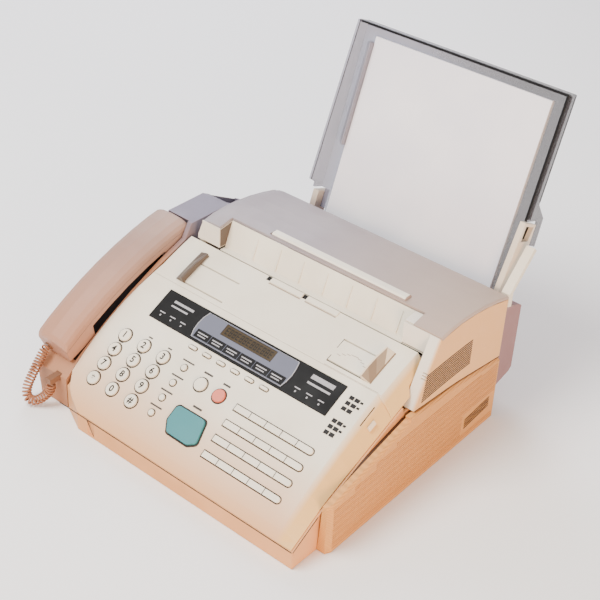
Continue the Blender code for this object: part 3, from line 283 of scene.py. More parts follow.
def striped(name, colour, direction, pitch, depth, rough=0.45):
    """Moulded plastic with fine ribs across a direction, and painted shade in stripes along them."""
    look = Look(name, rough)
    soft, _ = look.edges(0.0006)
    wave = look.add("ShaderNodeTexWave", wave_type="BANDS", bands_direction=direction, wave_profile="SIN")
    wave.inputs["Scale"].default_value = 0.31 / pitch
    wave.inputs["Distortion"].default_value = 0.0
    look.link(look.where, wave.inputs["Vector"])
    ribs = look.bump(wave.outputs["Fac"], depth, soft, 0.8)
    speck = look.bump(look.noise(1700.0, 4.0), 0.00003, ribs, 0.5)
    base = look.mixed(look.ranged(look.noise(12.0, 3.0), 0.35, 0.65, 0.0, 1.0), tint(colour, 0.95), colour)
    # painted shade: the colour darkens in stripes with the ribs' wave
    base = look.mixed(look.ranged(wave.outputs["Fac"], 0.0, 1.0, 0.0, 0.7), base, tint(colour, 0.72))
    return look.finish(base, speck)


def print_and_shade(name, colour, rough=0.5):
    """Printing ink, and painted shade in holes, slots and grooves: slightly uneven."""
    look = Look(name, rough)
    base = look.mixed(look.ranged(look.noise(900.0, 3.0), 0.3, 0.7, 0.0, 1.0), tint(colour, 0.85),
                      tint(colour, 1.15))
    return look.finish(base, look.bump(look.noise(2500.0), 0.00001, None, 0.4))


def metal(name, colour, rough=0.28, squeeze=(1.0, 40.0, 40.0)):
    """Drawn steel: long faint scratches."""
    look = Look(name, rough, 1.0)
    streak = look.noise(120.0, 5.0, squeeze)
    base = look.mixed(streak, tint(colour, 0.85), colour)
    soft, _ = look.edges(0.0003)
    roughness = look.ranged(streak, 0.2, 0.8, rough - 0.08, rough + 0.12)
    return look.finish(base, look.bump(streak, 0.00002, soft, 0.5), roughness)


def board(name):
    """Circuit board: solder mask with tracks."""
    look = Look(name, 0.4)
    brick = look.add("ShaderNodeTexBrick", offset=0.5)
    brick.inputs["Scale"].default_value = 130.0
    brick.inputs["Mortar Size"].default_value = 0.05
    brick.inputs["Color1"].default_value = (0.02, 0.16, 0.07, 1.0)
    brick.inputs["Color2"].default_value = (0.03, 0.20, 0.09, 1.0)
    brick.inputs["Mortar"].default_value = (0.07, 0.33, 0.15, 1.0)
    look.link(look.where, brick.inputs["Vector"])
    return look.finish(brick.outputs["Color"], look.bump(brick.outputs["Fac"], 0.00005, None, 0.4))


def rubber(name, colour=(0.03, 0.03, 0.032)):
    look = Look(name, 0.8)
    dust = look.ranged(look.noise(70.0, 5.0), 0.5, 0.8, 0.0, 0.5)
    base = look.mixed(dust, colour, tint(colour, 2.6))
    return look.finish(base, look.bump(look.noise(1200.0, 3.0), 0.00005, None, 0.6))


def smoke(name, colour, alpha, rough=0.12, fades=()):
    """Clear smoke plastic: faint flow lines and a few fine scratches."""
    look = Look(name, rough)
    flow = look.noise(9.0, 4.0, (1.0, 1.0, 0.25))
    base = look.mixed(look.ranged(flow, 0.35, 0.65, 0.0, 1.0), tint(colour, 0.8), tint(colour, 1.2))
    for fade in fades:
        base = look.fade(base, *fade)
    soft, edge_mask = look.edges(0.0012)
    base = look.mixed(look.ranged(edge_mask, 0.0, 1.0, 0.0, 0.5), base, tint(colour, 0.35))
    look.shader.inputs["Alpha"].default_value = alpha
    look.shader.inputs["IOR"].default_value = 1.49
    scratch = look.noise(260.0, 5.0, (1.0, 0.15, 0.15))
    roughness = look.ranged(scratch, 0.4, 0.75, rough, rough + 0.18)
    return look.finish(base, look.bump(scratch, 0.00002, soft, 0.3), roughness)


def paper(name):
    """A stack of plain sheets: fibres on the face, layers along the edges."""
    look = Look(name, 0.85)
    layer = look.add("ShaderNodeTexWave", wave_type="BANDS", bands_direction="Y")
    layer.inputs["Scale"].default_value = 900.0
    mapping = look.add("ShaderNodeMapping")
    mapping.inputs["Rotation"].default_value = (TRAY_TILT, 0.0, 0.0)
    look.link(look.where, mapping.inputs["Vector"])
    look.link(mapping.outputs["Vector"], layer.inputs["Vector"])
    fibre = look.noise(800.0, 6.0)
    cloud = look.noise(11.0, 3.0)
    base = look.mixed(look.ranged(cloud, 0.35, 0.65, 0.0, 1.0), (0.80, 0.79, 0.87), (0.88, 0.87, 0.92))
    ribs = look.bump(layer.outputs["Fac"], 0.00004, None, 0.4)
    return look.finish(base, look.bump(fibre, 0.00003, ribs, 0.5))


def liquid_crystal(name):
    """Display glass: olive field with a fine dot grid under it."""
    look = Look(name, 0.22)
    grid = look.add("ShaderNodeTexBrick", offset=0.0)
    grid.inputs["Scale"].default_value = 330.0
    grid.inputs["Mortar Size"].default_value = 0.03
    grid.inputs["Color1"].default_value = (0.055, 0.040, 0.022, 1.0)
    grid.inputs["Color2"].default_value = (0.063, 0.046, 0.026, 1.0)
    grid.inputs["Mortar"].default_value = (0.042, 0.031, 0.018, 1.0)
    look.link(look.where, grid.inputs["Vector"])
    return look.finish(grid.outputs["Color"])


def shaded_right_faces(name, colour, painted_shade_colour):
    """Moulded plastic with painted shade: darker on the faces that look right."""
    look = Look(name, 0.45)
    facing = look.add("ShaderNodeSeparateXYZ")
    look.link(look.add("ShaderNodeNewGeometry").outputs["Normal"], facing.inputs["Vector"])
    drift = look.mixed(look.ranged(look.noise(14.0, 3.0), 0.35, 0.65, 0.0, 1.0), tint(colour, 0.94), colour)
    # painted shade on the faces that look right
    base = look.mixed(look.ranged(facing.outputs[0], 0.25, 0.7, 0.0, 1.0), drift, painted_shade_colour)
    soft, _ = look.edges(0.0005)
    return look.finish(base, look.bump(look.noise(1700.0, 4.0), 0.00004, soft, 0.6))


IVORY = (0.84, 0.77, 0.63)
# Peach: the warm light on the lower body's front and right faces, painted into its colour
WARM_LIT_PEACH = (0.68, 0.32, 0.13)
BEIGE = (0.37, 0.24, 0.195)
LAVENDER = (0.33, 0.29, 0.31)

ivory = moulded("ivory_plastic", IVORY, second=(0.87, 0.81, 0.68))
# Operation panel: orange towards its front and its right edge, painted warm light
panel_ivory = moulded("panel_plastic", IVORY, second=(0.87, 0.81, 0.68),
                      fades=(("operation_panel", 1, 64.0, 0.0, (0.74, 0.41, 0.205)),
                             ("operation_panel", 0, -20.0, -14.0, (0.78, 0.47, 0.18))))
# Feeder table: orange towards its right edge, painted warm light
table_ivory = moulded("table_plastic", IVORY, second=(0.87, 0.81, 0.68),
                      fades=(("feeder_table", 0, -17.0, -11.0, (0.78, 0.49, 0.20)),))
# Printer housing: orange on its right face, painted warm light
housing_ivory = moulded("housing_plastic", (0.82, 0.75, 0.64), second=(0.85, 0.79, 0.69),
                        fades=(("printer_housing", 0, 3.0, 6.4, (0.74, 0.41, 0.17)),))
# Rear feed housing: darker and browner towards the bottom, painted shade
rear_ivory = moulded("rear_plastic", (0.74, 0.64, 0.52), second=(0.77, 0.68, 0.56),
                     fades=(("rear_feed_housing", 2, 150.0, 118.0, (0.27, 0.15, 0.15)),))
# Lower body: peach, the painted warm light of its front and right faces
body_warm_lit = moulded("body_plastic", WARM_LIT_PEACH, second=(0.72, 0.355, 0.155))
catch_ivory = moulded("catch_plastic", (0.80, 0.64, 0.46))
key_ivory = moulded("key_plastic", (0.85, 0.79, 0.66), 0.35, 2600.0, 0.00002, 0.0003)
# Printer cover: warmer towards its right end, painted warm light
lavender = moulded("cover_plastic", LAVENDER, 0.5, 1300.0, 0.00006, second=(0.36, 0.32, 0.335),
                   fades=(("printer_cover", 0, -190.0, 10.0, (0.46, 0.345, 0.28)),))
# Handset: more orange towards its front, painted warm light
beige = moulded("handset_plastic", BEIGE, 0.4, 1500.0, 0.00003, 0.0012, 0.08, 1.12, (0.41, 0.275, 0.225),
                (("handset_top_shell", 1, 150.0, 35.0, (0.43, 0.225, 0.15)),))
# Cradle: orange-brown at the front as painted warm light and shade, going to its lavender grey towards the rear
cradle_grey = moulded("cradle_plastic", (0.44, 0.215, 0.12), 0.5, 1500.0, 0.00005, 0.001,
                      fades=(("handset_cradle", 1, 150.0, 195.0, (0.20, 0.18, 0.23)),))
bezel_black = moulded("bezel_plastic", (0.0015, 0.0015, 0.0018), 0.55, 2600.0, 0.00001, 0.0003, 0.2, 3.0)
blue_grey = moulded("display_plastic", (0.13, 0.14, 0.19), 0.45, 2200.0, 0.00002, 0.0004)
teal = moulded("teal_plastic", (0.05, 0.215, 0.24), 0.35, 2200.0, 0.00002, 0.0010, 0.07, 1.9)
salmon = moulded("salmon_plastic", (0.70, 0.185, 0.125), 0.35, 2200.0, 0.00002, 0.0006, 0.06, 1.3)
# Dark taupe of the left document guide; also the painted shade on the print mouth's left wall
taupe = moulded("taupe_plastic", (0.12, 0.092, 0.075), 0.4, 1800.0, 0.00003, 0.0008, 0.08, 1.6)
# Right document guide: tan, with painted shade on the faces that look right
guide_painted_shade = shaded_right_faces("guide_edge_plastic", (0.80, 0.66, 0.48), (0.12, 0.065, 0.035))
black = moulded("black_plastic", (0.005, 0.005, 0.006), 0.5, 1500.0, 0.00004, 0.0004, 0.2, 2.5)
# Side cover and its ribs: orange as painted warm light, the ribs a little darker
ribs_warm_lit = moulded("rib_plastic", (0.55, 0.235, 0.065), 0.5)
ribbed = striped("side_cover_plastic", (0.74, 0.355, 0.11), "Z", 0.0019, 0.0004)
steel = metal("drawn_steel", (0.62, 0.62, 0.63))
zinc = metal("zinc_plate", (0.55, 0.56, 0.58), 0.4, (3.0, 3.0, 3.0))
roller_rubber = rubber("roller_rubber")
green_board = board("circuit_board")
tray_smoke = smoke("smoke_plastic", (0.27, 0.27, 0.36), 0.55,
                   fades=(("paper_tray", 0, -200.0, -60.0, (0.035, 0.024, 0.03)),))
guide_smoke = smoke("guide_plastic", (0.30, 0.29, 0.34), 0.75)
sheets = paper("paper_sheets")
lcd_glass = liquid_crystal("display_glass")
vinyl = moulded("cord_vinyl", (0.34, 0.145, 0.075), 0.42, 900.0, 0.00002, 0.0002, 0.08)
plug_brown = moulded("plug_plastic", (0.22, 0.11, 0.065), 0.4, 1500.0, 0.00003, 0.0003)
# Dark ink for figures and marks, also the dark seams, and painted shade in the feeder's notches and the
# handset's sound holes
dark_ink_and_shade = print_and_shade("dark_print_and_shade", (0.006, 0.005, 0.005))
soft_ink = print_and_shade("grey_print", (0.05, 0.044, 0.04))
# Dark joints and lines round keys, rapid rows, the feeder and the catch slit; also painted shade in the side
# vents and under the handset
joint_and_shade = print_and_shade("groove_shadow", (0.022, 0.014, 0.010))
# Painted shade in the side groove and in the notch at the cover's lip
brown_shade = print_and_shade("side_groove", (0.07, 0.032, 0.016))
# Faint lines; also the painted shadow in front of the feeder's flaps
faint = print_and_shade("faint_line", (0.34, 0.26, 0.20))
white_ink = print_and_shade("white_print", (0.36, 0.36, 0.38))
segment = print_and_shade("display_segments", (0.004, 0.003, 0.002))

FINISHES = {
    "base_chassis": body_warm_lit, "right_side_cover": ribbed, "handset_cradle": cradle_grey,
    "hook_switch": key_ivory, "operation_panel": panel_ivory, "feeder_table": table_ivory,
    "display_bezel": bezel_black, "display_panel": blue_grey, "lcd_module": lcd_glass,
    "key_board": green_board, "left_document_guide": taupe, "right_document_guide": guide_painted_shade,
    "panel_catch": catch_ivory, "hinge_rod": steel, "printer_housing": housing_ivory,
    "printer_cover": lavender, "output_ramp": ivory, "platen_roller": roller_rubber,
    "carriage_rod": steel, "print_carriage": black, "ink_cartridge": black,
    "rear_feed_housing": rear_ivory, "paper_tray": tray_smoke, "paper_stack": sheets,
    "paper_guide": guide_smoke, "paper_release_lever": ivory, "document_roller": roller_rubber,
    "roller_gear": key_ivory, "motor_gear": steel, "drive_motor": zinc, "main_board": green_board,
    "power_supply": zinc, "image_sensor": black, "monitor_speaker": black,
    "handset_top_shell": beige, "handset_bottom_shell": beige, "handset_plug": plug_brown,
    "base_plug": plug_brown, "stop_key": salmon, "start_key": teal,
}
for node_name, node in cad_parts.items():
    finish = FINISHES.get(node_name, key_ivory)
    node.data.materials.clear()
    node.data.materials.append(finish)


# --- mesh tools ---------------------------------------------------------------------------
def mesh_object(name, mesh, finish):
    """An object from a bmesh in working millimetres."""
    for vertex in mesh.verts:
        vertex.co = place(vertex.co)
    data = bpy.data.meshes.new(name)
    bmesh.ops.recalc_face_normals(mesh, faces=mesh.faces)
    mesh.to_mesh(data)
    mesh.free()
    made = bpy.data.objects.new(name, data)
    bpy.context.scene.collection.objects.link(made)
    data.materials.append(finish)
    return made


def piece(name, body, finish, mesh):
    """One visible piece, riding on a body."""
    made = mesh_object(name, mesh, finish)
    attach(made, body)


def slab(mesh, corners, lift):
    """A thin closed plate: corners in order, thickened by the vector lift."""
    low = [mesh.verts.new(c) for c in corners]
    high = [mesh.verts.new(c + lift) for c in corners]
    count = len(corners)
    mesh.faces.new(low[::-1])
    mesh.faces.new(high)
    for i in range(count):
        j = (i + 1) % count
        mesh.faces.new((low[i], low[j], high[j], high[i]))


def strip(mesh, points, lift):
    """Plates in a row through pairs of (lower, upper) corners along its length."""
    for (a, b), (c, d) in zip(points, points[1:]):
        slab(mesh, [a, c, d, b], lift)


def band(mesh, inner, outer, lift):
    """A closed ring between two outlines of equally many points."""
    count = len(inner)
    rows = []
    for outline in (inner, outer):
        rows.append([mesh.verts.new(p) for p in outline])
        rows.append([mesh.verts.new(p + lift) for p in outline])
    low_in, high_in, low_out, high_out = rows
    for i in range(count):
        j = (i + 1) % count
        mesh.faces.new((low_in[i], low_in[j], low_out[j], low_out[i]))
        mesh.faces.new((high_in[i], high_out[i], high_out[j], high_in[j]))
        mesh.faces.new((low_out[i], low_out[j], high_out[j], high_out[i]))
        mesh.faces.new((low_in[i], high_in[i], high_in[j], low_in[j]))


def circle(radius, sides):
    angles = [math.tau * i / sides for i in range(sides)]
    return [(radius * math.cos(angle), radius * math.sin(angle)) for angle in angles]


def capsule(half_length, radius, per_end=7):
    points = []
    for side in (1, -1):
        for i in range(per_end):
            angle = -math.pi / 2 + math.pi * i / (per_end - 1)
            points.append((side * (half_length + radius * math.cos(angle)), side * radius * math.sin(angle)))
    return points


def laid(outline, x, y, height):
    """An outline laid on the panel's surface round (x, y)."""
    normal = panel_normal(y)
    up = normal.cross(Vector((1.0, 0.0, 0.0)))
    return [on_panel(x, y, height) + Vector((a, 0.0, 0.0)) + up * b for a, b in outline]


def dash(mesh, x_low, x_high, y_low, y_high, height=SKIN, thick=SKIN):
    """A thin bar on the panel or the feeder table: print, embossed lines, and painted shade."""
    corners = [on_panel(x_low, y_low, height), on_panel(x_high, y_low, height),
               on_panel(x_high, y_high, height), on_panel(x_low, y_high, height)]
    slab(mesh, corners, panel_normal((y_low + y_high) / 2) * thick)


def rapid_outline(grow):
    half, height = (RAPID_RIGHT - RAPID_LEFT) / 2, RAPID_HALF
    points = [(-half - grow, height + grow), (-half - grow, -height - grow)]
    for i in range(9):
        angle = -math.pi / 2 + math.pi * i / 8
        points.append((half - height + (height + grow) * math.cos(angle), (height + grow) * math.sin(angle)))
    return points


def rounded(corners, radius, steps):
    """A polygon's corners turned into arcs."""
    out = []
    for i, corner in enumerate(corners):
        here = Vector(corner)
        back = (Vector(corners[i - 1]) - here).normalized()
        ahead = (Vector(corners[(i + 1) % len(corners)]) - here).normalized()
        half = back.angle(ahead) / 2
        cut = radius / math.tan(half)
        first, last = here + back * cut, here + ahead * cut
        centre = here + (back + ahead).normalized() * (radius / math.sin(half))
        for k in range(steps + 1):
            spoke = (first - centre).lerp(last - centre, k / steps).normalized() * radius
            out.append(tuple(centre + spoke))
    return out


# --- cord -----------------------------------------------------------------------------------
HAND_JACK = (-345.0, 9.0)
HAND_PLUG_OUT, CORD_GAP, CORD_LEAD = 1.4, 0.3, 1.0
BASE_JACK_X, CORD_END_Y, CORD_END_Z = -322.0, 6.3, 29.6
CORD_ROUTE = ((-345.0, 18.4, 50.3), (-345.5, 11.0, 41.0), (-346.6, 4.0, 30.0), (-346.6, -4.0, 18.0),
              (-342.5, -8.0, 9.0), (-336.0, -5.5, 6.2), (-329.0, 0.0, 11.0), (-323.5, 5.2, 20.0))
WIRE_RADIUS = 0.95
COIL_RADIUS = 4.2          # centre of the wire from the coil's own middle
COIL_PITCH = 3.0
COIL_STEPS = 1200
COIL_UNWOUND, COIL_EASE = 6.0, 3.5   # length left out of the turns, and length over which it opens out


def smooth_route(points, count):
    """A Catmull-Rom curve through the points, sampled evenly in its parameter."""
    knots = [Vector(p) for p in points]
    knots = [2 * knots[0] - knots[1]] + knots + [2 * knots[-1] - knots[-2]]
    curve = []
    spans = len(knots) - 3
    for i in range(count):
        t = spans * i / (count - 1)
        k = min(int(t), spans - 1)
        u = t - k
        a, b, c, d = knots[k:k + 4]
        curve.append(0.5 * (2 * b + (c - a) * u + (2 * a - 5 * b + 4 * c - d) * u * u
                            + (3 * b - a - 3 * c + d) * u ** 3))
    return curve


def even(points, count):
    """The same line with its points an equal distance apart, and its length."""
    reach = [0.0]
    for a, b in zip(points, points[1:]):
        reach.append(reach[-1] + (b - a).length)
    out, k = [], 0
    for i in range(count):
        want = reach[-1] * i / (count - 1)
        while k < len(points) - 2 and reach[k + 1] < want:
            k += 1
        share = (want - reach[k]) / (reach[k + 1] - reach[k])
        out.append(points[k].lerp(points[k + 1], share))
    return out, reach[-1]


def cord_middle():
    """The coil's middle line, from the base plug to the handset's plug."""
    x, up = HAND_JACK
    start, after = (in_cradle(x, -HAND_PLUG_OUT - CORD_GAP - reach, up) for reach in (0.0, CORD_LEAD))
    end = Vector((BASE_JACK_X, CORD_END_Y, CORD_END_Z))
    line = [start] + smooth_route([after, *CORD_ROUTE, end - Vector((0.0, 0.0, CORD_LEAD))], 200) + [end]
    return line[::-1]


def helix():
    """The wire's own line: straight at each plug, then wound round the middle line."""
    line, length = even(cord_middle(), COIL_STEPS + 1)
    turns = (length - COIL_UNWOUND) / COIL_PITCH
    side = Vector((1.0, 0.0, 0.0))
    wire = []
    for i, here in enumerate(line):
        ahead = (line[min(i + 1, COIL_STEPS)] - line[max(i - 1, 0)]).normalized()
        side = (side - ahead * side.dot(ahead)).normalized()
        other = ahead.cross(side)
        s = length * i / COIL_STEPS
        grow = min(1.0, s / COIL_EASE, (length - s) / COIL_EASE)
        grow = grow * grow * (3.0 - 2.0 * grow)
        angle = math.tau * turns * s / length
        wire.append(here + (side * math.cos(angle) + other * math.sin(angle)) * COIL_RADIUS * grow)
    return wire


def tube(points, radius, sides):
    """A closed tube along the points, with a frame carried along so it doesn't twist."""
    mesh = bmesh.new()
    side = Vector((1.0, 0.0, 0.0))
    rings = []
    last = len(points) - 1
    for i, here in enumerate(points):
        ahead = (points[min(i + 1, last)] - points[max(i - 1, 0)]).normalized()
        side = side - ahead * side.dot(ahead)
        if side.length < 1e-6:
            side = ahead.orthogonal()
        side.normalize()
        other = ahead.cross(side)
        rings.append([mesh.verts.new(here + (side * math.cos(t) + other * math.sin(t)) * radius)
                      for t in (math.tau * k / sides for k in range(sides))])
    for near, far in zip(rings, rings[1:]):
        for k in range(sides):
            j = (k + 1) % sides
            mesh.faces.new((near[k], near[j], far[j], far[k]))
    mesh.faces.new(rings[0][::-1])
    mesh.faces.new(rings[-1])
    return mesh


def make_cord():
    wire = helix()
    made = mesh_object("curly_cord", tube(wire, WIRE_RADIUS, 8), vinyl)
    made.data.shade_smooth()
    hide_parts("handset_cord")
    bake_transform(made)


make_cord()


# --- marks and small details ------------------------------------------------------------
def ring_marks():
    """The dark joint round each key, drawn as a thin raised line on the panel."""
    mesh = bmesh.new()

    def ring(inner, outer, x, y):
        band(mesh, laid(inner, x, y, OUTLINE_RISE), laid(outer, x, y, OUTLINE_RISE), panel_normal(y) * SKIN)

    for y in DIAL_ROWS:
        for x in DIAL_COLUMNS:
            ring(circle(7.0, 28), circle(8.1, 28), x, y)
    for y in FUNCTION_ROWS:
        ring(circle(3.5, 18), circle(4.35, 18), FUNCTION_X, y)
    for x, y in (SPEAKER_KEY, STOP_KEY):
        ring(circle(7.1, 28), circle(8.2, 28), x, y)
    for k in range(6):
        ring(capsule(MENU_HALF, 1.85), capsule(MENU_HALF, 2.55), MENU_LEFT + MENU_STEP * k, MENU_Y)
    middle = (RAPID_LEFT + RAPID_RIGHT) / 2
    for y in RAPID_ROWS:
        ring(rapid_outline(0.35), rapid_outline(1.2), middle, y)
    start = rounded(START_OUTLINE, START_ROUND, 4)

    def grown(by):
        wide, high = START_SIZE
        return [(a * (1 + by / wide), b * (1 + by / high)) for a, b in start]

    ring(grown(0.35), grown(1.5), *START_KEY)
    piece("key_outlines", "operation_unit", joint_and_shade, mesh)


def figure(name, text, body, centre, normal, size, finish):
    """A generic figure laid flat on a key, as a thin closed mesh."""
    data = bpy.data.curves.new(name, "FONT")
    data.body = text
    data.size = size
    data.extrude = 0.03
    data.offset = 0.24
    data.resolution_u = 3
    data.align_x = "CENTER"
    data.align_y = "CENTER"
    source = bpy.data.objects.new(name + "_text", data)
    bpy.context.scene.collection.objects.link(source)
    bpy.context.view_layer.update()
    mesh_data = bpy.data.meshes.new_from_object(source.evaluated_get(bpy.context.evaluated_depsgraph_get()))
    mesh = bmesh.new()
    mesh.from_mesh(mesh_data)
    bmesh.ops.remove_doubles(mesh, verts=mesh.verts, dist=1e-5)
    bpy.data.meshes.remove(mesh_data)
    bpy.data.objects.remove(source)
    across = Vector((1.0, 0.0, 0.0))
    up = normal.cross(across)
    for vertex in mesh.verts:
        a, b, c = vertex.co
        vertex.co = centre + across * a + up * b + normal * (c + 0.05)
    piece(name, body, finish, mesh)


def key_figures():
    """The twelve figures of the dial keys."""
    names = ["1", "2", "3", "4", "5", "6", "7", "8", "9", "star", "0", "hash"]
    signs = {"star": "*", "hash": "#"}
    for index, name in enumerate(names):
        x, y = DIAL_COLUMNS[index % 3], DIAL_ROWS[index // 3]
        text = signs.get(name, name)
        drop = -1.2 if name == "star" else 0.0
        centre = on_panel(x, y + drop, KEY_TOP)
        figure("figure_" + name, text, "key_" + name, centre, panel_normal(y), 9.4, dark_ink_and_shade)


def rapid_marks():
    """Dark lines between the keys of each rapid-dial row."""
    step = (RAPID_RIGHT - RAPID_LEFT) / 5
    for index, y in enumerate(RAPID_ROWS):
        mesh = bmesh.new()
        for k in range(1, 5):
            corners = [(-0.35, -2.9), (0.35, -2.9), (0.35, 2.9), (-0.35, 2.9)]
            slab(mesh, laid(corners, RAPID_LEFT + step * k, y, RAPID_TOP), panel_normal(y) * SKIN)
        row = "rapid_row_%d" % (index + 1)
        piece(row + "_marks", row, joint_and_shade, mesh)


def printed_marks():
    """Short generic bars where the panel carries small print."""
    mesh = bmesh.new()
    for y in FUNCTION_ROWS:
        dash(mesh, FUNCTION_X - 7.5, FUNCTION_X + 7.5, y + 5.6, y + 6.9)
    for (x, y), half, rise in ((SPEAKER_KEY, 5.5, 10.0), (STOP_KEY, 4.5, 10.0), (START_KEY, 5.5, 15.2)):
        dash(mesh, x - half, x + half, y + rise, y + rise + 1.7)
    for x in DIAL_COLUMNS[1:]:
        dash(mesh, x - 2.6, x + 2.6, DIAL_ROWS[0] + 8.6, DIAL_ROWS[0] + 9.9)
    for y in DIAL_ROWS[1:3]:
        for x in DIAL_COLUMNS:
            dash(mesh, x - 3.0, x + 3.0, y + 7.6, y + 8.6)
    piece("small_print", "operation_unit", soft_ink, mesh)
    mesh = bmesh.new()
    for y_base in (84.7, 108.6):
        for row in range(3):
            y = y_base + 5.6 * row
            dash(mesh, -40.6, -35.6, y, y + 3.6)
            dash(mesh, -34.6, -29.2, y, y + 3.6)
            if row:
                dash(mesh, -28.2, -25.0, y + 0.8, y + 2.8)
    piece("function_marks", "operation_unit", dark_ink_and_shade, mesh)


def display_marks():
    """Label blocks, their bars, and character cells on the display."""
    normal = panel_normal(DISPLAY_Y)

    def plate(mesh, x_low, x_high, y_low, y_high, height):
        corners = [on_display(x_low, y_low, height), on_display(x_high, y_low, height),
                   on_display(x_high, y_high, height), on_display(x_low, y_high, height)]
        slab(mesh, corners, normal * SKIN)

    blocks, bars = bmesh.new(), bmesh.new()
    for k in range(6):
        x = -218.0 + 19.0 * k
        plate(blocks, x - 0.3, x + 18.2, 100.8, 109.0, DISPLAY_TOP + 0.02)
        plate(bars, x + 2.2, x + 15.0, 105.4, 106.5, DISPLAY_TOP + 0.1)
        plate(bars, x + 3.4, x + 13.6, 102.9, 103.9, DISPLAY_TOP + 0.1)
    piece("display_labels", "operation_unit", bezel_black, blocks)
    rim = bmesh.new()
    outline = [(-220.0, 99.6), (-104.6, 99.6), (-102.4, 106.0), (-101.6, 113.0), (-102.4, 120.0),
               (-104.2, 126.6), (-220.0, 126.6), (-222.6, 120.0), (-223.4, 113.0), (-222.6, 106.0)]
    middle = Vector((-162.4, DISPLAY_Y))

    def shrunk(share):
        places = [middle + (Vector(p) - middle) * share for p in outline]
        return [on_display(p[0], p[1], DISPLAY_TOP + 0.02) for p in places]

    band(rim, shrunk(0.985), shrunk(0.998), normal * SKIN)
    piece("display_rim", "operation_unit", white_ink, rim)
    cells = bmesh.new()
    for k in range(13):
        x = -191.5 + 4.6 * k
        for low, high in ((116.2, 117.2), (119.2, 120.2), (122.2, 123.2)):
            plate(cells, x, x + 3.1, low, high, GLASS_TOP)
        plate(cells, x, x + 0.7, 116.2, 123.2, GLASS_TOP)
        if k % 3:
            plate(cells, x + 2.5, x + 3.2, 116.2, 123.2, GLASS_TOP)
    piece("display_characters", "operation_unit", segment, cells)
    for x_low, x_high, y_low, y_high in ((-262.0, -236.0, 119.0, 121.4), (-262.0, -240.0, 114.6, 116.2),
                                         (-85.0, -58.0, 119.2, 123.6), (-85.0, -58.0, 114.0, 116.0)):
        dash(bars, x_low, x_high, y_low, y_high, BEZEL_TOP)
    for x in (-266.0, -252.0, -238.0, -90.0, -76.0, -62.0):
        dash(bars, x, x + 1.6, 102.0, 103.6, BEZEL_TOP)
        dash(bars, x - 2.5, x + 4.5, 105.6, 106.6, BEZEL_TOP)
    piece("bar_marks", "operation_unit", white_ink, bars)


def feeder_details():
    """Flaps, notches and embossed lines of the document feeder, with painted shade in the notches and a painted
    shadow line in front of the flaps.
    """
    lines = bmesh.new()
    dash(lines, -84.6, -83.9, 141.0, 166.4)
    dash(lines, -84.6, -40.0, 140.3, 141.0)
    piece("feeder_outline", "operation_unit", joint_and_shade, lines)
    arc = bmesh.new()
    for k in range(8):
        x = -80.0 + 4.2 * k
        y = 150.0 + 6.0 * math.sin(k * 0.42)
        dash(arc, x, x + 4.3, y, y + 0.5)
    dash(arc, -84.0, -20.0, 136.4, 136.7)
    piece("feeder_arc", "operation_unit", faint, arc)
    # the notches: dark slabs as painted shade in the holes
    notches = bmesh.new()
    for x in (-196.2, -149.8):
        dash(notches, x - 2.4, x + 2.4, 183.6, 188.2, SKIN, 0.1)
    piece("feeder_notches", "operation_unit", dark_ink_and_shade, notches)
    flap = bmesh.new()
    for low, high in ((-193.2, -152.6), (-146.8, -108.0)):
        corners = [on_panel(low, 182.4, 0.0), on_panel(high, 182.4, 0.0), on_panel(high, 188.3, 0.0),
                   on_panel(low, 188.3, 0.0)]
        slab(flap, corners, panel_normal(185.0) * 1.0)
    piece("feeder_flap", "operation_unit", ivory, flap)
    # painted shadow: a faint line along the front of the raised flaps
    flap_shadow = bmesh.new()
    dash(flap_shadow, -193.2, -152.6, 180.9, 182.0, SKIN, 0.1)
    dash(flap_shadow, -146.8, -108.0, 180.9, 182.0, SKIN, 0.1)
    piece("feeder_flap_shadow", "operation_unit", faint, flap_shadow)


def handset_details():
    """Sound holes on the undersides of both heads, drawn as dark discs of painted shade, left out where the
    hook plunger touches.
    """
    holes = bmesh.new()
    down = in_cradle(0.0, 0.0, -1.0) - in_cradle(0.0, 0.0, 0.0)
    for middle in (HEAD_MIDDLE, HANDSET_LENGTH - HEAD_MIDDLE):
        for ring, count in ((0.0, 1), (4.0, 6), (8.0, 12)):
            for k in range(count):
                angle = math.tau * k / count
                x, along = HOOK_X + ring * math.cos(angle), middle + ring * math.sin(angle)
                if math.hypot(x - HOOK_X, along - HOOK_ALONG) < PLUNGER_CLEAR:
                    continue
                slab(holes, [in_cradle(x + a, along + b, -0.02) for a, b in circle(0.8, 8)], down * 0.05)
    piece("sound_holes", "handset", dark_ink_and_shade, holes)


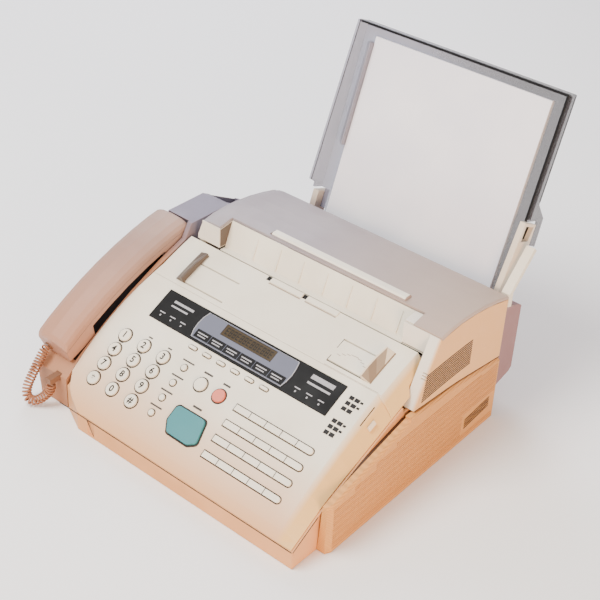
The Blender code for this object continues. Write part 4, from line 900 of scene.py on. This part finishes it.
def tray_details():
    """Near-black rims of the tray, where the clear plastic is seen edge on."""
    rim = bmesh.new()
    left, right, top = TRAY_LEFT, TRAY_RIGHT, TRAY_TOP

    def bar(x_low, x_high, low, high, out_low, out_high):
        corners = [on_tray(x_low, low, out_low), on_tray(x_high, low, out_low), on_tray(x_high, high, out_low),
                   on_tray(x_low, high, out_low)]
        slab(rim, corners, on_tray(0.0, 0.0, out_high) - on_tray(0.0, 0.0, out_low))

    bar(left + 0.2, right - 0.2, top - 2.2, top - 0.2, 9.05, 9.5)
    bar(left + 2.6, right - 2.6, top - 4.2, top - 2.6, -4.0, -3.6)
    bar(right - 2.2, right - 0.2, 62.4, top - 2.4, 9.05, 9.5)
    bar(left + 0.4, right - 0.4, top + 0.05, top + 0.15, -6.4, -4.2)
    bar(left + 0.4, right - 0.4, top + 0.05, top + 0.15, 6.2, 8.9)
    bar(right + 0.05, right + 0.15, 82.0, top - 0.4, -6.4, -4.4)
    bar(right + 0.05, right + 0.15, 64.0, top - 0.4, 6.0, 8.9)
    bar(right - 2.6, right - 2.45, 64.0, top - 2.6, -4.0, 8.9)
    edge = [(15.8 + 173.0 * t / 4, 19.6 - 7.4 * t / 4) for t in range(5)]
    inside = left + 2.45
    strip(rim, [(on_tray(inside, along, out - 1.1), on_tray(inside, along, out)) for along, out in edge],
          Vector((0.1, 0.0, 0.0)))
    piece("tray_rim", "paper_tray", black, rim)


def post_marks():
    """Painted shade in the pocket of the right post, and a dark peg beside the left one."""
    dark = bmesh.new()
    slab(dark, [on_tray(-12.45, *p) for p in ((41.6, -7.6), (41.6, 6.1), (56.4, 5.1), (55.1, -10.4))],
         Vector((0.1, 0.0, 0.0)))
    slab(dark, [on_tray(TRAY_LEFT - 0.05, *p) for p in ((-8.0, -6.0), (-8.0, 2.0), (-1.0, 2.0), (-1.0, -6.0))],
         Vector((-2.4, 0.0, 0.0)))
    piece("post_marks", "base", black, dark)


def housing_vents():
    """Painted shade over the twelve curved vent slots, and a dark seam below them."""
    vents = bmesh.new()
    for k in range(12):
        ys = [168.0 + 0.4 * k + (78.0 - 0.4 * k) * i / 6 for i in range(7)]
        zs = [91.5 + 2.45 * k + 4.5 * math.sin(math.pi * (y - 150.0) / 190.0) for y in ys]
        strip(vents, [(Vector((HOUSING_FACE, y, z - 0.15)), Vector((HOUSING_FACE, y, z + 1.3)))
                      for y, z in zip(ys, zs)], STRIP_OUT)
    seam = [158.0 + 144.0 * i / 8 for i in range(9)]
    strip(vents, [(Vector((HOUSING_FACE, y, housing_foot(y) + 0.05)),
                   Vector((HOUSING_FACE, y, housing_foot(y) + 0.9))) for y in seam], STRIP_OUT)
    piece("side_vents", "base", joint_and_shade, vents)


def mouth_shade():
    """Painted shade on the left wall of the print mouth."""
    wall = bmesh.new()
    corners = ((191.0, 130.0), (200.0, 130.0), (208.0, 152.6), (191.0, 149.8))
    slab(wall, [Vector((-267.9, y, z)) for y, z in corners], Vector((0.25, 0.0, 0.0)))
    piece("mouth_shade", "base", taupe, wall)


def low_vents():
    """Painted shade over the side cover's five rear vents."""
    low = bmesh.new()
    for z in (15.0, 17.6, 20.2, 22.8, 25.4):
        rows = []
        for y in (248.5, 291.5):
            x = side_cover_foot(y) - 0.6 * (z + 3.0) / 70.0 + 0.12
            low_z = z + 0.1 * (y - 248.0)
            rows.append((Vector((x, y, low_z)), Vector((x, y, low_z + 1.3))))
        strip(low, rows, STRIP_OUT)
    piece("low_vents", "base", joint_and_shade, low)


def side_ribs():
    """Thin raised ribs along the side cover, clear of its vents."""
    ribs = bmesh.new()
    for k in range(26):
        z = 4.0 + 2.6 * k
        stops = [y for y in (40.5, 70.0, 100.0, 130.0, 149.0, 180.0, 210.0, 243.0, 270.0, 300.0)
                 if side_cover_top(y) > z + 5.5 and not (y > 243.0 and 9.0 < z < 34.0)]
        rows = []
        for y in stops:
            slope = 0.6 / (side_cover_top(y) - 2.5)
            rows.append([Vector((side_cover_foot(y) - slope * h + 0.02, y, h)) for h in (z, z + 1.0)])
        strip(ribs, rows, Vector((0.16, 0.0, 0.0)))
    piece("side_ribs", "base", ribs_warm_lit, ribs)


def mouth_sill():
    """Floor of the gap between the feeder table and the housing's right cheek."""
    sill = bmesh.new()
    corners = ((-35.6, 190.4), (-6.6, 190.4), (-6.6, 197.0), (-35.6, 197.0))
    slab(sill, [Vector((x, y, 127.0)) for x, y in corners], Vector((0.0, 0.0, 0.4)))
    piece("mouth_sill", "base", key_ivory, sill)


def side_groove():
    """Painted shade in the groove between the lower body's right wall and the side cover."""
    groove = bmesh.new()
    ends = []
    for y in (41.0, 60.0, 80.0, 98.0, 120.0, 149.0):
        top = side_cover_top(y)
        z = min(seam_z(y), top) - 1.0
        ends.append((Vector((0.05, y, z)), Vector((0.23 + 3.05 * z / top, y, z))))
    strip(groove, ends, Vector((0.0, 0.0, 0.1)))
    piece("side_groove", "base", brown_shade, groove)


def front_seam():
    """Dark seam along the lower body's front, a notch in it, and the seam round the front right corner."""
    seam = bmesh.new()
    forward = Vector((0.0, -0.08, 0.0))
    for corners in (((-303.0, 18.5), (-1.0, 18.5), (-1.0, 19.8), (-303.0, 19.8)),
                    ((-264.0, 18.8), (-262.4, 18.8), (-254.0, 3.0), (-255.0, 3.0))):
        slab(seam, [Vector((x, FRONT_FACE, z)) for x, z in corners], forward)
    strip(seam, [(Vector((0.02, y, seam_z(y) - 1.7)), Vector((0.02, y, seam_z(y) - 0.1)))
                 for y in (0.5, 18.0, 33.0)], Vector((0.1, 0.0, 0.0)))
    piece("front_seam", "base", dark_ink_and_shade, seam)


def catch_slit():
    """Thin dark line on the panel's sloping side, above the release catch."""
    slit = bmesh.new()

    def at(y, share):
        high, low = Vector((-20.0, y, panel_z(y))), Vector((-2.0, y, seam_z(y)))
        square = Vector((high.z - low.z, 0.0, 18.0)).normalized()
        return high.lerp(low, share) + square * 0.1

    strip(slit, [(at(y, 0.20), at(y, 0.235)) for y in (107.0, 112.0, 117.0, 122.0, 127.0)],
          Vector((0.05, 0.0, 0.06)))
    piece("catch_slit", "operation_unit", joint_and_shade, slit)


def cradle_details():
    """Painted shadow on the floor of the channel under the handset, clear of the hook plunger."""
    floor_mesh = bmesh.new()
    lift = in_cradle(0.0, 0.0, 0.1) - in_cradle(0.0, 0.0, 0.0)
    for near, far in ((4.0, 154.0), (166.0, 186.0)):
        corners = ((-355.0, near), (-314.6, near), (-314.6, far), (-355.0, far))
        slab(floor_mesh, [in_cradle(*corner, CHANNEL_FLOOR) for corner in corners], lift)
    piece("channel_floor_shadow", "base", joint_and_shade, floor_mesh)


def cover_details():
    """Ivory skin of the lip behind the print mouth, and painted shade in a notch at its left end."""
    skin = bmesh.new()
    profile = [(211.0, cover_z(211.0) + 1.6), (213.0, cover_z(213.0) + 3.0), (219.0, cover_z(219.0) + 2.6),
               (221.0, cover_z(221.0) + 0.8)]
    strip(skin, [(Vector((-216.8, y, z + 0.05)), Vector((-51.2, y, z + 0.05))) for y, z in profile],
          Vector((0.0, -0.05, 0.12)))
    piece("cover_lip", "printer_cover", key_ivory, skin)
    notch = bmesh.new()
    corners = ((-220.2, 212.0), (-217.2, 212.0), (-217.2, 220.0), (-220.2, 220.0))
    slab(notch, [Vector((x, y, cover_z(y) + 0.05)) for x, y in corners], Vector((0.0, 0.0, 0.1)))
    piece("cover_notch", "printer_cover", brown_shade, notch)


ring_marks()
rapid_marks()
key_figures()
housing_vents()
mouth_shade()
low_vents()
side_ribs()
mouth_sill()
side_groove()
front_seam()
catch_slit()
cradle_details()
cover_details()
printed_marks()
display_marks()
feeder_details()
handset_details()
tray_details()
post_marks()


# --- floor and light -----------------------------------------------------------------------
def floor():
    mesh = bmesh.new()
    reach = 4.0
    corners = [mesh.verts.new((x * reach, y * reach, -0.0005)) for x, y in ((-1, -1), (1, -1), (1, 1), (-1, 1))]
    mesh.faces.new(corners)
    data = bpy.data.meshes.new("floor")
    mesh.to_mesh(data)
    mesh.free()
    made = bpy.data.objects.new("floor", data)
    bpy.context.scene.collection.objects.link(made)
    look = Look("floor_paint", 0.9)
    base = look.mixed(look.noise(3.0, 2.0), (0.97, 0.97, 0.97), (0.99, 0.99, 0.99))
    data.materials.append(look.finish(base))


def area_light(name, where, aim, size, power, colour):
    data = bpy.data.lights.new(name, "AREA")
    data.shape = "DISK"
    data.size = size
    data.energy = power
    data.color = colour
    made = bpy.data.objects.new(name, data)
    made.location = where
    made.rotation_euler = (Vector(aim) - Vector(where)).to_track_quat("-Z", "Y").to_euler()
    bpy.context.scene.collection.objects.link(made)


def light():
    world = bpy.data.worlds.new("studio")
    world.use_nodes = True
    world.node_tree.nodes["Background"].inputs["Color"].default_value = (1.0, 0.98, 0.97, 1.0)
    world.node_tree.nodes["Background"].inputs["Strength"].default_value = 0.85
    bpy.context.scene.world = world
    centre = (0.0, 0.0, 0.1)
    area_light("key", (-0.5, -0.9, 1.9), centre, 1.2, 60.0, (1.0, 0.98, 0.94))
    area_light("warm", (1.5, -1.0, 0.35), centre, 0.7, 34.0, (1.0, 0.62, 0.34))
    area_light("cool", (-1.2, 1.0, 1.2), centre, 1.0, 22.0, (0.84, 0.84, 1.0))


floor()
light()
